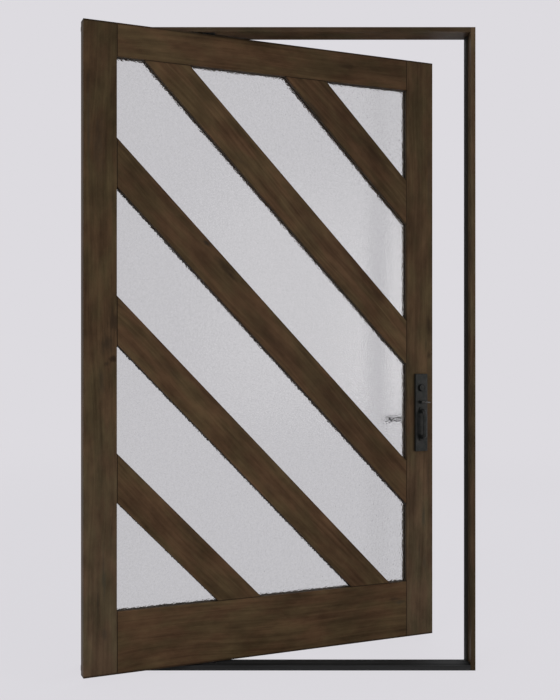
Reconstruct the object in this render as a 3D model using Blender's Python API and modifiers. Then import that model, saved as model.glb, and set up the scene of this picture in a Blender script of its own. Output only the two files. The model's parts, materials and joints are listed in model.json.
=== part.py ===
"""Pivot entry door: a stile-and-rail leaf with diagonal bars and obscure glass,
hung on a floor pivot and a head pivot in a slim frame, and shown partly open.

Units are metres, +Z is up. The outside of the door faces -Y and the lock side is at +X.
The origin is on the underside of the threshold, in the middle of the frame's width and on
the middle plane of the closed leaf. The leaf turns about the vertical axis at PIVOT_X.
"""
import math

import bmesh
import bpy
from mathutils import Matrix, Vector

# Frame
FRAME_WIDTH = 1.524
FRAME_DEPTH = 0.102
FRAME_FRONT = -0.030
BOARD = 0.0175
SILL_HEIGHT = 0.0205
SILL_DEPTH = 0.071
SILL_NOSE_DROP = 0.0012
SILL_GROOVE_FROM_FRONT = 0.0125
SILL_GROOVE_WIDTH = 0.0030
SILL_GROOVE_DEPTH = 0.0030
LEFT_JAMB_WIDTH = 0.045
LEFT_JAMB_SETBACK = 0.0623
SEAL_THICKNESS = 0.008
STRIKE_SEAL_SETBACK = 0.057
PIVOT_SEAL_WIDTH = 0.022
PIVOT_SEAL_THICKNESS = 0.0045

# Leaf
LEAF_HEIGHT = 2.436
LEAF_THICKNESS = 0.0445
STRIKE_GAP = 0.006
RUNNING_GAP = 0.005
PIVOT_SETBACK = 0.462
OPEN_ANGLE = math.radians(22.7)
STILE_WIDTH = 0.1255
TOP_RAIL_WIDTH = 0.127
BOTTOM_RAIL_WIDTH = 0.233
ARRIS = 0.0006

# Diagonal bars, which fall from upper left to lower right
BAR_COUNT = 5
BAR_WIDTH = 0.127
BAR_ANGLE = math.radians(45.55)
CORNER_SHARE = 0.655
BAR_LIFT_SHARE = 0.0205

# Glazing
GLASS_SETBACK = 0.014
GLASS_THICKNESS = 0.012
REBATE = 0.010

# Handle set, with heights from the latch's axis
LATCH_HEIGHT = 0.914
BACKSET = 0.0603
DEADBOLT_ABOVE_LATCH = 0.1375
PLATE_WIDTH = 0.059
PLATE_THICKNESS = 0.012
PLATE_BELOW_LATCH = 0.132
PLATE_ABOVE_DEADBOLT = 0.0585
PLATE_EDGE = 0.0025
CYLINDER_RADIUS = 0.0155
CYLINDER_LENGTH = 0.011
THUMB_ABOVE_LATCH = 0.077
THUMB_LENGTH = 0.046
THUMB_WIDTH = 0.024
THUMB_NECK_WIDTH = 0.013
THUMB_THICKNESS = 0.0036
THUMB_CROWN = 0.0012
THUMB_DROOP = 0.0
THUMB_HUB_RADIUS = 0.0048
THUMB_PIN_RADIUS = 0.0018
THUMB_HUB_STANDOFF = 0.0102
EAR_THICKNESS = 0.0040
GRIP_TOP_ABOVE_LATCH = 0.042
GRIP_BOTTOM_BELOW_LATCH = 0.075
GRIP_PROJECTION = 0.0265
GRIP_WIDTH = 0.019
GRIP_DEPTH = 0.012
GRIP_BEND = 0.018
GRIP_FOOT_RADIUS = 0.0130
GRIP_FOOT_THICKNESS = 0.006
LEVER_LENGTH = 0.112
LEVER_PROJECTION = 0.048
LEVER_WIDTH = 0.019
LEVER_THICKNESS = 0.011
LEVER_NECK_RADIUS = 0.0095
COLLAR_RADIUS = 0.0175
COLLAR_THICKNESS = 0.006
TURN_HUB_RADIUS = 0.0135
TURN_HUB_LENGTH = 0.012
TURN_BLADE_LENGTH = 0.040
TURN_BLADE_HEIGHT = 0.016
TURN_BLADE_THICKNESS = 0.006

# Lock in the leaf's edge
FACEPLATE_WIDTH = 0.0254
FACEPLATE_END = 0.050
FACEPLATE_THICKNESS = 0.003
LATCH_SIZE = (0.012, 0.020)
DEADBOLT_SIZE = (0.012, 0.026)
BOLT_LENGTH = 0.024

# Pivots
SPINDLE_RADIUS = 0.008
SPINDLE_RISE = 0.016
BORE_CLEARANCE = 0.0004
BASE_LENGTH = 0.120
BASE_WIDTH = 0.026
BASE_THICKNESS = 0.005
SHOE_LENGTH = 0.130
SHOE_WIDTH = 0.032
SHOE_HEIGHT = 0.024
TOP_PIN_RADIUS = 0.007
TOP_PIN_RISE = 0.010
TOP_BLOCK_LENGTH = 0.110
TOP_BLOCK_WIDTH = 0.030
TOP_BLOCK_HEIGHT = 0.020
TOP_PLATE_LENGTH = 0.110
TOP_PLATE_WIDTH = 0.036
TOP_PLATE_THICKNESS = 0.004

# Gap between pieces that touch, and how far a cutter passes the face that it opens
TOUCH = 0.0003
OVERRUN = 0.004
WELD = 0.00001
ROUND_SEGMENTS = 32
SHARP_ANGLE = math.radians(35)

# Values that follow from the sizes above
FRAME_BACK = FRAME_FRONT + FRAME_DEPTH
FRAME_RIGHT = FRAME_WIDTH / 2
FRAME_LEFT = -FRAME_WIDTH / 2
RIGHT_JAMB_FACE = FRAME_RIGHT - BOARD
LEAF_WIDTH = FRAME_WIDTH - BOARD - SEAL_THICKNESS - STRIKE_GAP
LEAF_BOTTOM = SILL_HEIGHT + RUNNING_GAP
LEAF_TOP = LEAF_BOTTOM + LEAF_HEIGHT
HEAD_UNDERSIDE = LEAF_TOP + RUNNING_GAP
FRAME_HEIGHT = HEAD_UNDERSIDE + BOARD
PIVOT_X = FRAME_LEFT + PIVOT_SETBACK
LEAF_LEFT = -PIVOT_SETBACK
LEAF_RIGHT = LEAF_WIDTH - PIVOT_SETBACK
LEAF_FRONT = -LEAF_THICKNESS / 2
LEAF_BACK = LEAF_THICKNESS / 2
SILL_BACK = FRAME_FRONT + SILL_DEPTH
LEFT_JAMB_FACE = FRAME_FRONT + LEFT_JAMB_SETBACK
GLASS_FRONT = LEAF_FRONT + GLASS_SETBACK
GLASS_BACK = GLASS_FRONT + GLASS_THICKNESS + 2 * TOUCH
PLATE_X = LEAF_RIGHT - BACKSET
LATCH_Z = LEAF_BOTTOM + LATCH_HEIGHT
DEADBOLT_Z = LATCH_Z + DEADBOLT_ABOVE_LATCH
PLATE_LOW = LATCH_Z - PLATE_BELOW_LATCH
PLATE_HIGH = DEADBOLT_Z + PLATE_ABOVE_DEADBOLT
THUMB_Z = LATCH_Z + THUMB_ABOVE_LATCH
PLATE_FACE = LEAF_FRONT - TOUCH - PLATE_THICKNESS
INSIDE_PLATE_FACE = LEAF_BACK + TOUCH + PLATE_THICKNESS


def clear_scene():
    for old in list(bpy.data.objects):
        bpy.data.objects.remove(old, do_unlink=True)


def new_collection(name):
    collection = bpy.data.collections.new(name)
    bpy.context.scene.collection.children.link(collection)
    return collection


def new_material(name, colour, roughness, metallic=0.0, transmission=0.0):
    material = bpy.data.materials.new(name)
    material.use_nodes = True
    shader = material.node_tree.nodes["Principled BSDF"]
    shader.inputs["Base Color"].default_value = (*colour, 1.0)
    shader.inputs["Roughness"].default_value = roughness
    shader.inputs["Metallic"].default_value = metallic
    shader.inputs["Transmission Weight"].default_value = transmission
    material.diffuse_color = (*colour, 1.0)
    return material


clear_scene()
PARTS = new_collection("pivot_entry_door")
CUTTERS = new_collection("cutters")
WOOD = new_material("stained_wood", (0.046, 0.032, 0.019), 0.5)
GLASS = new_material("obscure_glass", (0.72, 0.73, 0.75), 0.25, transmission=0.8)
BLACK_METAL = new_material("black_bronze", (0.022, 0.022, 0.024), 0.42, metallic=0.7)
SILL_METAL = new_material("black_sill_metal", (0.024, 0.024, 0.024), 0.4, metallic=0.5)
STEEL = new_material("bolt_steel", (0.42, 0.42, 0.43), 0.35, metallic=1.0)
RUBBER = new_material("black_seal", (0.016, 0.017, 0.016), 0.65)


def new_pivot(name, location, parent=None, turn=0.0):
    """An empty on a joint's axis, which carries what moves with it"""
    empty = bpy.data.objects.new(name, None)
    empty.empty_display_size = 0.05
    empty.location = location
    empty.rotation_euler.z = turn
    empty.parent = parent
    PARTS.objects.link(empty)
    return empty


def mesh_object(name, shape, material, parent=None):
    """Turn a bmesh into a named object; a piece with no material is a cutter"""
    bmesh.ops.recalc_face_normals(shape, faces=shape.faces)
    mesh = bpy.data.meshes.new(name)
    shape.to_mesh(mesh)
    shape.free()
    piece = bpy.data.objects.new(name, mesh)
    piece.parent = parent
    if material is None:
        CUTTERS.objects.link(piece)
        piece.hide_render = True
        piece.display_type = "WIRE"
    else:
        PARTS.objects.link(piece)
        mesh.materials.append(material)
    return piece


def box(name, low, high, material=None, parent=None):
    low = Vector(low)
    high = Vector(high)
    size = high - low
    place = Matrix.Translation((low + high) / 2) @ Matrix.Diagonal((*size, 1.0))
    shape = bmesh.new()
    bmesh.ops.create_cube(shape, size=1.0, matrix=place)
    return mesh_object(name, shape, material, parent)


def cylinder(name, radius, start, end, material=None, parent=None):
    """A closed cylinder between two points on its axis"""
    start = Vector(start)
    end = Vector(end)
    run = end - start
    turn = run.to_track_quat("Z", "Y").to_matrix().to_4x4()
    place = Matrix.Translation((start + end) / 2) @ turn
    shape = bmesh.new()
    bmesh.ops.create_cone(shape, cap_ends=True, segments=ROUND_SEGMENTS, radius1=radius,
                          radius2=radius, depth=run.length, matrix=place)
    return mesh_object(name, shape, material, parent)


def prism(name, outlines, low, high, across, material=None, parent=None):
    """A flat outline with any holes, given thickness from low to high.

    across "Y": the outline lies in the leaf's plane, as (x, z) points.
    across "X": the outline is a section, as (y, z) points.
    """
    curve = bpy.data.curves.new(name, "CURVE")
    curve.dimensions = "2D"
    curve.fill_mode = "BOTH"
    curve.extrude = (high - low) / 2
    for outline in outlines:
        spline = curve.splines.new("POLY")
        spline.points.add(len(outline) - 1)
        for point, corner in zip(spline.points, outline):
            point.co = (corner[0], corner[1], 0.0, 1.0)
        spline.use_cyclic_u = True
    flat = bpy.data.objects.new(name + "_outline", curve)
    CUTTERS.objects.link(flat)
    middle = (low + high) / 2
    if across == "Y":
        stand = Matrix.Translation((0, middle, 0)) @ Matrix.Rotation(math.pi / 2, 4, "X")
    else:
        upright = Matrix(((0, 0, 1, 0), (1, 0, 0, 0), (0, 1, 0, 0), (0, 0, 0, 1)))
        stand = Matrix.Translation((middle, 0, 0)) @ upright
    return curve_to_piece(flat, name, stand, material, parent)


def curve_to_piece(source, name, place, material, parent=None):
    """Weld a curve's evaluated surface and its caps into one closed mesh"""
    bpy.context.view_layer.update()
    evaluated = source.evaluated_get(bpy.context.evaluated_depsgraph_get())
    mesh = bpy.data.meshes.new_from_object(evaluated)
    shape = bmesh.new()
    shape.from_mesh(mesh)
    bmesh.ops.remove_doubles(shape, verts=shape.verts, dist=WELD)
    bmesh.ops.transform(shape, matrix=place @ source.matrix_world, verts=shape.verts)
    bpy.data.objects.remove(source, do_unlink=True)
    bpy.data.meshes.remove(mesh)
    return mesh_object(name, shape, material, parent)


def combine(piece, other, operation):
    modifier = piece.modifiers.new(operation.lower(), "BOOLEAN")
    modifier.operation = operation
    modifier.object = other
    modifier.solver = "EXACT"


def cut(piece, *cutters):
    for cutter in cutters:
        combine(piece, cutter, "DIFFERENCE")


def fuse(piece, *others):
    for other in others:
        combine(piece, other, "UNION")


def ease(piece, width, segments=1):
    bevel = piece.modifiers.new("eased edges", "BEVEL")
    bevel.width = width
    bevel.segments = segments
    bevel.limit_method = "ANGLE"
    bevel.angle_limit = SHARP_ANGLE


def smooth(piece):
    piece.data.shade_smooth()
    piece.data.set_sharp_from_angle(angle=SHARP_ANGLE)


def turned(name, profile, place, material, parent):
    """Turn a profile of (radius, height) points, top to bottom, about its axis"""
    mesh = bpy.data.meshes.new(name)
    shape = bmesh.new()
    points = [shape.verts.new((radius, 0.0, height)) for radius, height in profile]
    for first, second in zip(points, points[1:]):
        shape.edges.new((first, second))
    shape.to_mesh(mesh)
    shape.free()
    blank = bpy.data.objects.new(name + "_profile", mesh)
    CUTTERS.objects.link(blank)
    screw = blank.modifiers.new("turn", "SCREW")
    screw.axis = "Z"
    screw.angle = math.tau
    screw.steps = ROUND_SEGMENTS
    screw.render_steps = ROUND_SEGMENTS
    screw.use_merge_vertices = True
    screw.merge_threshold = WELD
    piece = curve_to_piece(blank, name, place, material, parent)
    smooth(piece)
    return piece


# Outlines in the leaf's plane

def keep_side(outline, normal, limit):
    """The part of a convex outline where normal . point is at most limit"""
    kept = []
    for index, here in enumerate(outline):
        before = outline[index - 1]
        reach = normal.dot(here) - limit
        reach_before = normal.dot(before) - limit
        if reach * reach_before < 0:
            share = reach_before / (reach_before - reach)
            kept.append(before.lerp(here, share))
        if reach <= 0:
            kept.append(here)
    return kept


def grow(outline, distance):
    """Move each side of a convex outline outwards, keeping its corners mitred"""
    grown = []
    count = len(outline)
    for index in range(count):
        corner = outline[index]
        before = (corner - outline[index - 1]).normalized()
        after = (outline[(index + 1) % count] - corner).normalized()
        out_before = Vector((before.y, -before.x))
        out_after = Vector((after.y, -after.x))
        bisector = out_before + out_after
        grown.append(corner + bisector * (2 * distance / bisector.length_squared))
    return grown


def rectangle(left, bottom, right, top):
    return [Vector(corner) for corner in ((left, bottom), (right, bottom), (right, top), (left, top))]


DAYLIGHT = rectangle(LEAF_LEFT + STILE_WIDTH, LEAF_BOTTOM + BOTTOM_RAIL_WIDTH,
                     LEAF_RIGHT - STILE_WIDTH, LEAF_TOP - TOP_RAIL_WIDTH)
ACROSS_BARS = Vector((math.sin(BAR_ANGLE), math.cos(BAR_ANGLE)))
NEAR_CORNER = ACROSS_BARS.dot(DAYLIGHT[0])
FAR_CORNER = ACROSS_BARS.dot(DAYLIGHT[2])
BAR_PITCH = (FAR_CORNER - NEAR_CORNER) / (BAR_COUNT + CORNER_SHARE)


def bar_upper_edge(index):
    """Bars stand at an even pitch, with the middle one close to the centre of the daylight"""
    places = index - (BAR_COUNT - 1) / 2 + BAR_LIFT_SHARE
    return (NEAR_CORNER + FAR_CORNER) / 2 + places * BAR_PITCH + BAR_WIDTH / 2


def bar_outline(index):
    upper = bar_upper_edge(index)
    outline = keep_side(grow(DAYLIGHT, -TOUCH), ACROSS_BARS, upper)
    return keep_side(outline, -ACROSS_BARS, BAR_WIDTH - upper)


def pane_opening(index):
    """The daylight opening between one bar and the next, or a corner of the leaf"""
    outline = DAYLIGHT
    if index < BAR_COUNT:
        outline = keep_side(outline, ACROSS_BARS, bar_upper_edge(index) - BAR_WIDTH)
    if index > 0:
        outline = keep_side(outline, -ACROSS_BARS, -bar_upper_edge(index - 1))
    return outline


# Frame

def build_frame():
    right_jamb = box("right_jamb", (RIGHT_JAMB_FACE, FRAME_FRONT, 0.0),
                     (FRAME_RIGHT, FRAME_BACK, FRAME_HEIGHT), WOOD)
    ease(right_jamb, ARRIS)
    head = box("head_jamb", (FRAME_LEFT, FRAME_FRONT, HEAD_UNDERSIDE),
               (RIGHT_JAMB_FACE - TOUCH, FRAME_BACK, FRAME_HEIGHT), WOOD)
    ease(head, ARRIS)
    cut(head, *top_pivot_pocket())
    left_jamb = box("left_jamb", (FRAME_LEFT, LEFT_JAMB_FACE, 0.0),
                    (FRAME_LEFT + LEFT_JAMB_WIDTH, FRAME_BACK, HEAD_UNDERSIDE - TOUCH), WOOD)
    ease(left_jamb, ARRIS)
    cut(left_jamb, sill_notch("left_jamb_notch", FRAME_LEFT, FRAME_LEFT + LEFT_JAMB_WIDTH))
    build_threshold()
    build_seals()


def sill_notch(name, left, right):
    """Room for the sill at the foot of an upright"""
    return box(name, (left - OVERRUN, FRAME_FRONT - OVERRUN, -OVERRUN),
               (right + OVERRUN, SILL_BACK + TOUCH, SILL_HEIGHT + TOUCH))


def build_threshold():
    """An extruded section: a nose, a groove and a flat top that the leaf passes over"""
    groove_front = FRAME_FRONT + SILL_GROOVE_FROM_FRONT
    groove_back = groove_front + SILL_GROOVE_WIDTH
    section = [(FRAME_FRONT, 0.0), (SILL_BACK, 0.0), (SILL_BACK, SILL_HEIGHT),
               (groove_back, SILL_HEIGHT), (groove_back, SILL_HEIGHT - SILL_GROOVE_DEPTH),
               (groove_front, SILL_HEIGHT - SILL_GROOVE_DEPTH),
               (groove_front, SILL_HEIGHT), (FRAME_FRONT, SILL_HEIGHT - SILL_NOSE_DROP)]
    threshold = prism("threshold", [section], FRAME_LEFT, RIGHT_JAMB_FACE - TOUCH, "X", SILL_METAL)
    ease(threshold, ARRIS)
    pocket = box("pivot_base_pocket",
                 (PIVOT_X - BASE_LENGTH / 2 - TOUCH, -BASE_WIDTH / 2 - TOUCH,
                  SILL_HEIGHT - BASE_THICKNESS - TOUCH),
                 (PIVOT_X + BASE_LENGTH / 2 + TOUCH, BASE_WIDTH / 2 + TOUCH, SILL_HEIGHT + OVERRUN))
    cut(threshold, pocket)


def build_seals():
    """The strike-side seal reaches the floor behind the sill; the other stands on the sill"""
    strike_seal = box("strike_side_seal",
                      (RIGHT_JAMB_FACE - SEAL_THICKNESS, FRAME_FRONT + STRIKE_SEAL_SETBACK, 0.0),
                      (RIGHT_JAMB_FACE - TOUCH, FRAME_BACK, HEAD_UNDERSIDE - TOUCH), RUBBER)
    cut(strike_seal, sill_notch("seal_foot_notch", RIGHT_JAMB_FACE - SEAL_THICKNESS, RIGHT_JAMB_FACE))
    middle = FRAME_LEFT + LEFT_JAMB_WIDTH / 2
    box("pivot_side_seal",
        (middle - PIVOT_SEAL_WIDTH / 2, LEFT_JAMB_FACE - TOUCH - PIVOT_SEAL_THICKNESS,
         SILL_HEIGHT + TOUCH),
        (middle + PIVOT_SEAL_WIDTH / 2, LEFT_JAMB_FACE - TOUCH, HEAD_UNDERSIDE - TOUCH), RUBBER)


# Pivots

def top_pivot_pocket():
    recess = box("top_plate_recess",
                 (PIVOT_X - TOP_PLATE_LENGTH / 2 - TOUCH, -TOP_PLATE_WIDTH / 2 - TOUCH,
                  HEAD_UNDERSIDE - OVERRUN),
                 (PIVOT_X + TOP_PLATE_LENGTH / 2 + TOUCH, TOP_PLATE_WIDTH / 2 + TOUCH,
                  HEAD_UNDERSIDE + TOP_PLATE_THICKNESS + TOUCH))
    bore = cylinder("top_pin_bore", TOP_PIN_RADIUS + BORE_CLEARANCE,
                    (PIVOT_X, 0.0, HEAD_UNDERSIDE),
                    (PIVOT_X, 0.0, HEAD_UNDERSIDE + TOP_PIN_RISE + 2 * TOUCH))
    return recess, bore


def build_fixed_pivots():
    base = box("floor_pivot_base",
               (PIVOT_X - BASE_LENGTH / 2, -BASE_WIDTH / 2, SILL_HEIGHT - BASE_THICKNESS),
               (PIVOT_X + BASE_LENGTH / 2, BASE_WIDTH / 2, SILL_HEIGHT), BLACK_METAL)
    spindle = cylinder("spindle_blank", SPINDLE_RADIUS,
                       (PIVOT_X, 0.0, SILL_HEIGHT - BASE_THICKNESS / 2),
                       (PIVOT_X, 0.0, LEAF_BOTTOM + SPINDLE_RISE))
    fuse(base, spindle)
    ease(base, ARRIS)
    plate = box("top_pivot_plate",
                (PIVOT_X - TOP_PLATE_LENGTH / 2, -TOP_PLATE_WIDTH / 2, HEAD_UNDERSIDE),
                (PIVOT_X + TOP_PLATE_LENGTH / 2, TOP_PLATE_WIDTH / 2,
                 HEAD_UNDERSIDE + TOP_PLATE_THICKNESS), BLACK_METAL)
    hole = cylinder("top_plate_hole", TOP_PIN_RADIUS + BORE_CLEARANCE,
                    (PIVOT_X, 0.0, HEAD_UNDERSIDE - OVERRUN),
                    (PIVOT_X, 0.0, HEAD_UNDERSIDE + TOP_PLATE_THICKNESS + OVERRUN))
    cut(plate, hole)
    ease(plate, ARRIS)


def build_leaf_pivots(leaf):
    shoe = box("bottom_pivot_shoe",
               (-SHOE_LENGTH / 2, -SHOE_WIDTH / 2, LEAF_BOTTOM),
               (SHOE_LENGTH / 2, SHOE_WIDTH / 2, LEAF_BOTTOM + SHOE_HEIGHT), BLACK_METAL, leaf)
    bore = cylinder("shoe_bore", SPINDLE_RADIUS + BORE_CLEARANCE,
                    (0.0, 0.0, LEAF_BOTTOM - OVERRUN),
                    (0.0, 0.0, LEAF_BOTTOM + SPINDLE_RISE + TOUCH), None, leaf)
    ease(shoe, ARRIS)
    cut(shoe, bore)
    block = box("top_pivot_block",
                (-TOP_BLOCK_LENGTH / 2, -TOP_BLOCK_WIDTH / 2, LEAF_TOP - TOP_BLOCK_HEIGHT),
                (TOP_BLOCK_LENGTH / 2, TOP_BLOCK_WIDTH / 2, LEAF_TOP), BLACK_METAL, leaf)
    pin = cylinder("top_pin_blank", TOP_PIN_RADIUS, (0.0, 0.0, LEAF_TOP - TOP_BLOCK_HEIGHT / 2),
                   (0.0, 0.0, HEAD_UNDERSIDE + TOP_PIN_RISE), None, leaf)
    fuse(block, pin)
    ease(block, ARRIS)


# Leaf woodwork

def build_woodwork(leaf):
    openings = [pane_opening(index) for index in range(BAR_COUNT + 1)]
    rebates = prism("glazing_rebates", [grow(opening, REBATE) for opening in openings],
                    GLASS_FRONT, LEAF_BACK + OVERRUN, "Y", None, leaf)
    inner_left = LEAF_LEFT + STILE_WIDTH
    inner_right = LEAF_RIGHT - STILE_WIDTH
    pivot_stile = box("pivot_stile", (LEAF_LEFT, LEAF_FRONT, LEAF_BOTTOM),
                      (inner_left, LEAF_BACK, LEAF_TOP), WOOD, leaf)
    lock_stile = box("lock_stile", (inner_right, LEAF_FRONT, LEAF_BOTTOM),
                     (LEAF_RIGHT, LEAF_BACK, LEAF_TOP), WOOD, leaf)
    top_rail = box("top_rail", (inner_left + TOUCH, LEAF_FRONT, LEAF_TOP - TOP_RAIL_WIDTH),
                   (inner_right - TOUCH, LEAF_BACK, LEAF_TOP), WOOD, leaf)
    bottom_rail = box("bottom_rail", (inner_left + TOUCH, LEAF_FRONT, LEAF_BOTTOM),
                      (inner_right - TOUCH, LEAF_BACK, LEAF_BOTTOM + BOTTOM_RAIL_WIDTH), WOOD, leaf)
    bars = []
    for index in range(BAR_COUNT):
        name = f"diagonal_bar_{index + 1}"
        bars.append(prism(name, [bar_outline(index)], LEAF_FRONT, LEAF_BACK, "Y", WOOD, leaf))
    for member in (pivot_stile, lock_stile, top_rail, bottom_rail, *bars):
        ease(member, ARRIS)
        cut(member, rebates)
    cut(lock_stile, *lock_mortise(leaf))
    cut(top_rail, top_block_pocket(leaf))
    cut(bottom_rail, shoe_pocket(leaf))
    build_glazing(leaf, openings)


def top_block_pocket(leaf):
    return box("top_block_pocket",
               (-TOP_BLOCK_LENGTH / 2 - TOUCH, -TOP_BLOCK_WIDTH / 2 - TOUCH,
                LEAF_TOP - TOP_BLOCK_HEIGHT - TOUCH),
               (TOP_BLOCK_LENGTH / 2 + TOUCH, TOP_BLOCK_WIDTH / 2 + TOUCH, LEAF_TOP + OVERRUN),
               None, leaf)


def shoe_pocket(leaf):
    return box("shoe_pocket",
               (-SHOE_LENGTH / 2 - TOUCH, -SHOE_WIDTH / 2 - TOUCH, LEAF_BOTTOM - OVERRUN),
               (SHOE_LENGTH / 2 + TOUCH, SHOE_WIDTH / 2 + TOUCH,
                LEAF_BOTTOM + SHOE_HEIGHT + TOUCH), None, leaf)


def build_glazing(leaf, openings):
    for index, opening in enumerate(openings):
        edge = grow(opening, REBATE - TOUCH)
        prism(f"glass_pane_{index + 1}", [edge], GLASS_FRONT + TOUCH,
              GLASS_FRONT + TOUCH + GLASS_THICKNESS, "Y", GLASS, leaf)
        bead = prism(f"glazing_bead_{index + 1}", [edge, opening], GLASS_BACK, LEAF_BACK, "Y",
                     WOOD, leaf)
        ease(bead, ARRIS)


# Lock in the leaf's edge

def bolt_box(name, size, height, clearance, inner, outer, material, leaf):
    width, tall = size
    return box(name,
               (inner, -width / 2 - clearance, height - tall / 2 - clearance),
               (outer, width / 2 + clearance, height + tall / 2 + clearance), material, leaf)


def faceplate_box(name, clearance, outer, material, leaf):
    return box(name,
               (LEAF_RIGHT - FACEPLATE_THICKNESS - clearance, -FACEPLATE_WIDTH / 2 - clearance,
                LATCH_Z - FACEPLATE_END - clearance),
               (outer, FACEPLATE_WIDTH / 2 + clearance, DEADBOLT_Z + FACEPLATE_END + clearance),
               material, leaf)


def lock_mortise(leaf):
    """Pockets in the edge of the lock stile for the faceplate and the two bolts"""
    outer = LEAF_RIGHT + OVERRUN
    inner = LEAF_RIGHT - BOLT_LENGTH - TOUCH
    return (faceplate_box("faceplate_pocket", TOUCH, outer, None, leaf),
            bolt_box("latch_pocket", LATCH_SIZE, LATCH_Z, TOUCH, inner, outer, None, leaf),
            bolt_box("deadbolt_pocket", DEADBOLT_SIZE, DEADBOLT_Z, TOUCH, inner, outer, None,
                     leaf))


def build_lock(leaf):
    faceplate = faceplate_box("lock_faceplate", 0.0, LEAF_RIGHT, BLACK_METAL, leaf)
    ease(faceplate, ARRIS)
    inner = LEAF_RIGHT - FACEPLATE_THICKNESS - OVERRUN
    outer = LEAF_RIGHT + OVERRUN
    cut(faceplate,
        bolt_box("latch_hole", LATCH_SIZE, LATCH_Z, TOUCH, inner, outer, None, leaf),
        bolt_box("deadbolt_hole", DEADBOLT_SIZE, DEADBOLT_Z, TOUCH, inner, outer, None, leaf))
    for name, size, height in (("latch_bolt", LATCH_SIZE, LATCH_Z),
                               ("deadbolt", DEADBOLT_SIZE, DEADBOLT_Z)):
        bolt = bolt_box(name, size, height, 0.0, LEAF_RIGHT - BOLT_LENGTH, LEAF_RIGHT, STEEL, leaf)
        ease(bolt, ARRIS)


# Handle set

def build_outside_handle(leaf):
    plate = box("handle_plate", (PLATE_X - PLATE_WIDTH / 2, PLATE_FACE, PLATE_LOW),
                (PLATE_X + PLATE_WIDTH / 2, PLATE_FACE + PLATE_THICKNESS, PLATE_HIGH),
                BLACK_METAL, leaf)
    ease(plate, PLATE_EDGE, 2)
    fuse(plate, *thumb_ears(leaf))
    smooth(plate)
    outwards = Matrix.Rotation(math.pi / 2, 4, "X")
    rim = 0.0015
    core = CYLINDER_RADIUS * 0.62
    profile = [(0.0, CYLINDER_LENGTH - rim), (core, CYLINDER_LENGTH - rim),
               (core, CYLINDER_LENGTH), (CYLINDER_RADIUS - rim, CYLINDER_LENGTH),
               (CYLINDER_RADIUS, CYLINDER_LENGTH - rim), (CYLINDER_RADIUS, 0.0), (0.0, 0.0)]
    place = Matrix.Translation((PLATE_X, PLATE_FACE - TOUCH, DEADBOLT_Z)) @ outwards
    turned("deadbolt_cylinder", profile, place, BLACK_METAL, leaf)
    build_grip(leaf)


def thumb_ears(leaf):
    """Two ears on the plate and the pin between them, which carry the thumbpiece"""
    axis_y = PLATE_FACE - THUMB_HUB_STANDOFF
    axis_z = THUMB_Z
    inner = THUMB_NECK_WIDTH / 2 + TOUCH
    outer = inner + EAR_THICKNESS
    reach = THUMB_HUB_RADIUS * 1.3
    ears = []
    for side in (-1, 1):
        sides = sorted((PLATE_X + side * inner, PLATE_X + side * outer))
        ears.append(box("thumb_ear_blank", (sides[0], axis_y - reach, axis_z - reach),
                        (sides[1], PLATE_FACE + PLATE_THICKNESS / 2, axis_z + reach), None, leaf))
    pin = cylinder("thumb_pin_blank", THUMB_PIN_RADIUS, (PLATE_X - inner - EAR_THICKNESS / 2, axis_y, axis_z),
                   (PLATE_X + inner + EAR_THICKNESS / 2, axis_y, axis_z), None, leaf)
    return (*ears, pin)


def swept(name, path, section_width, section_depth, across, material, parent):
    """A round-ended bar along a path: section_width lies along the vector across"""
    section = bpy.data.curves.new(name + "_section", "CURVE")
    section.dimensions = "2D"
    loop = section.splines.new("POLY")
    loop.points.add(ROUND_SEGMENTS // 2 - 1)
    for index, point in enumerate(loop.points):
        angle = math.tau * index / len(loop.points)
        point.co = (section_width / 2 * math.cos(angle), section_depth / 2 * math.sin(angle), 0.0, 1.0)
    loop.use_cyclic_u = True
    section_object = bpy.data.objects.new(name + "_section", section)
    CUTTERS.objects.link(section_object)
    curve = bpy.data.curves.new(name, "CURVE")
    curve.dimensions = "3D"
    curve.twist_mode = "Z_UP" if across == "Z" else "MINIMUM"
    curve.bevel_mode = "OBJECT"
    curve.bevel_object = section_object
    curve.use_fill_caps = True
    spline = curve.splines.new("POLY")
    spline.points.add(len(path) - 1)
    for point, place in zip(spline.points, path):
        point.co = (*place, 1.0)
    source = bpy.data.objects.new(name + "_path", curve)
    CUTTERS.objects.link(source)
    piece = curve_to_piece(source, name, Matrix.Identity(4), material, parent)
    bpy.data.objects.remove(section_object, do_unlink=True)
    smooth(piece)
    return piece


def quarter(centre, radius, start, end, steps=6):
    """Points on an arc in a plane, from one angle to another"""
    points = []
    for index in range(steps + 1):
        angle = start + (end - start) * index / steps
        points.append((centre[0] + radius * math.cos(angle), centre[1] + radius * math.sin(angle)))
    return points


def build_grip(leaf):
    """A bow from one foot on the plate, out, down and back to the other foot"""
    top = LATCH_Z + GRIP_TOP_ABOVE_LATCH
    bottom = LATCH_Z - GRIP_BOTTOM_BELOW_LATCH
    out = PLATE_FACE - GRIP_PROJECTION
    start = PLATE_FACE - TOUCH - GRIP_FOOT_THICKNESS / 2
    side = [(start, top)]
    side += quarter((out + GRIP_BEND, top - GRIP_BEND), GRIP_BEND, math.pi / 2, math.pi)
    side += quarter((out + GRIP_BEND, bottom + GRIP_BEND), GRIP_BEND, math.pi, 1.5 * math.pi)
    side += [(start, bottom)]
    path = [(PLATE_X, y, z) for y, z in side]
    grip = swept("pull_grip", path, GRIP_WIDTH, GRIP_DEPTH, "X", BLACK_METAL, leaf)
    for height in (top, bottom):
        foot = cylinder("grip_foot_blank", GRIP_FOOT_RADIUS,
                        (PLATE_X, PLATE_FACE - TOUCH - GRIP_FOOT_THICKNESS, height),
                        (PLATE_X, PLATE_FACE - TOUCH, height), None, leaf)
        fuse(grip, foot)


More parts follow.
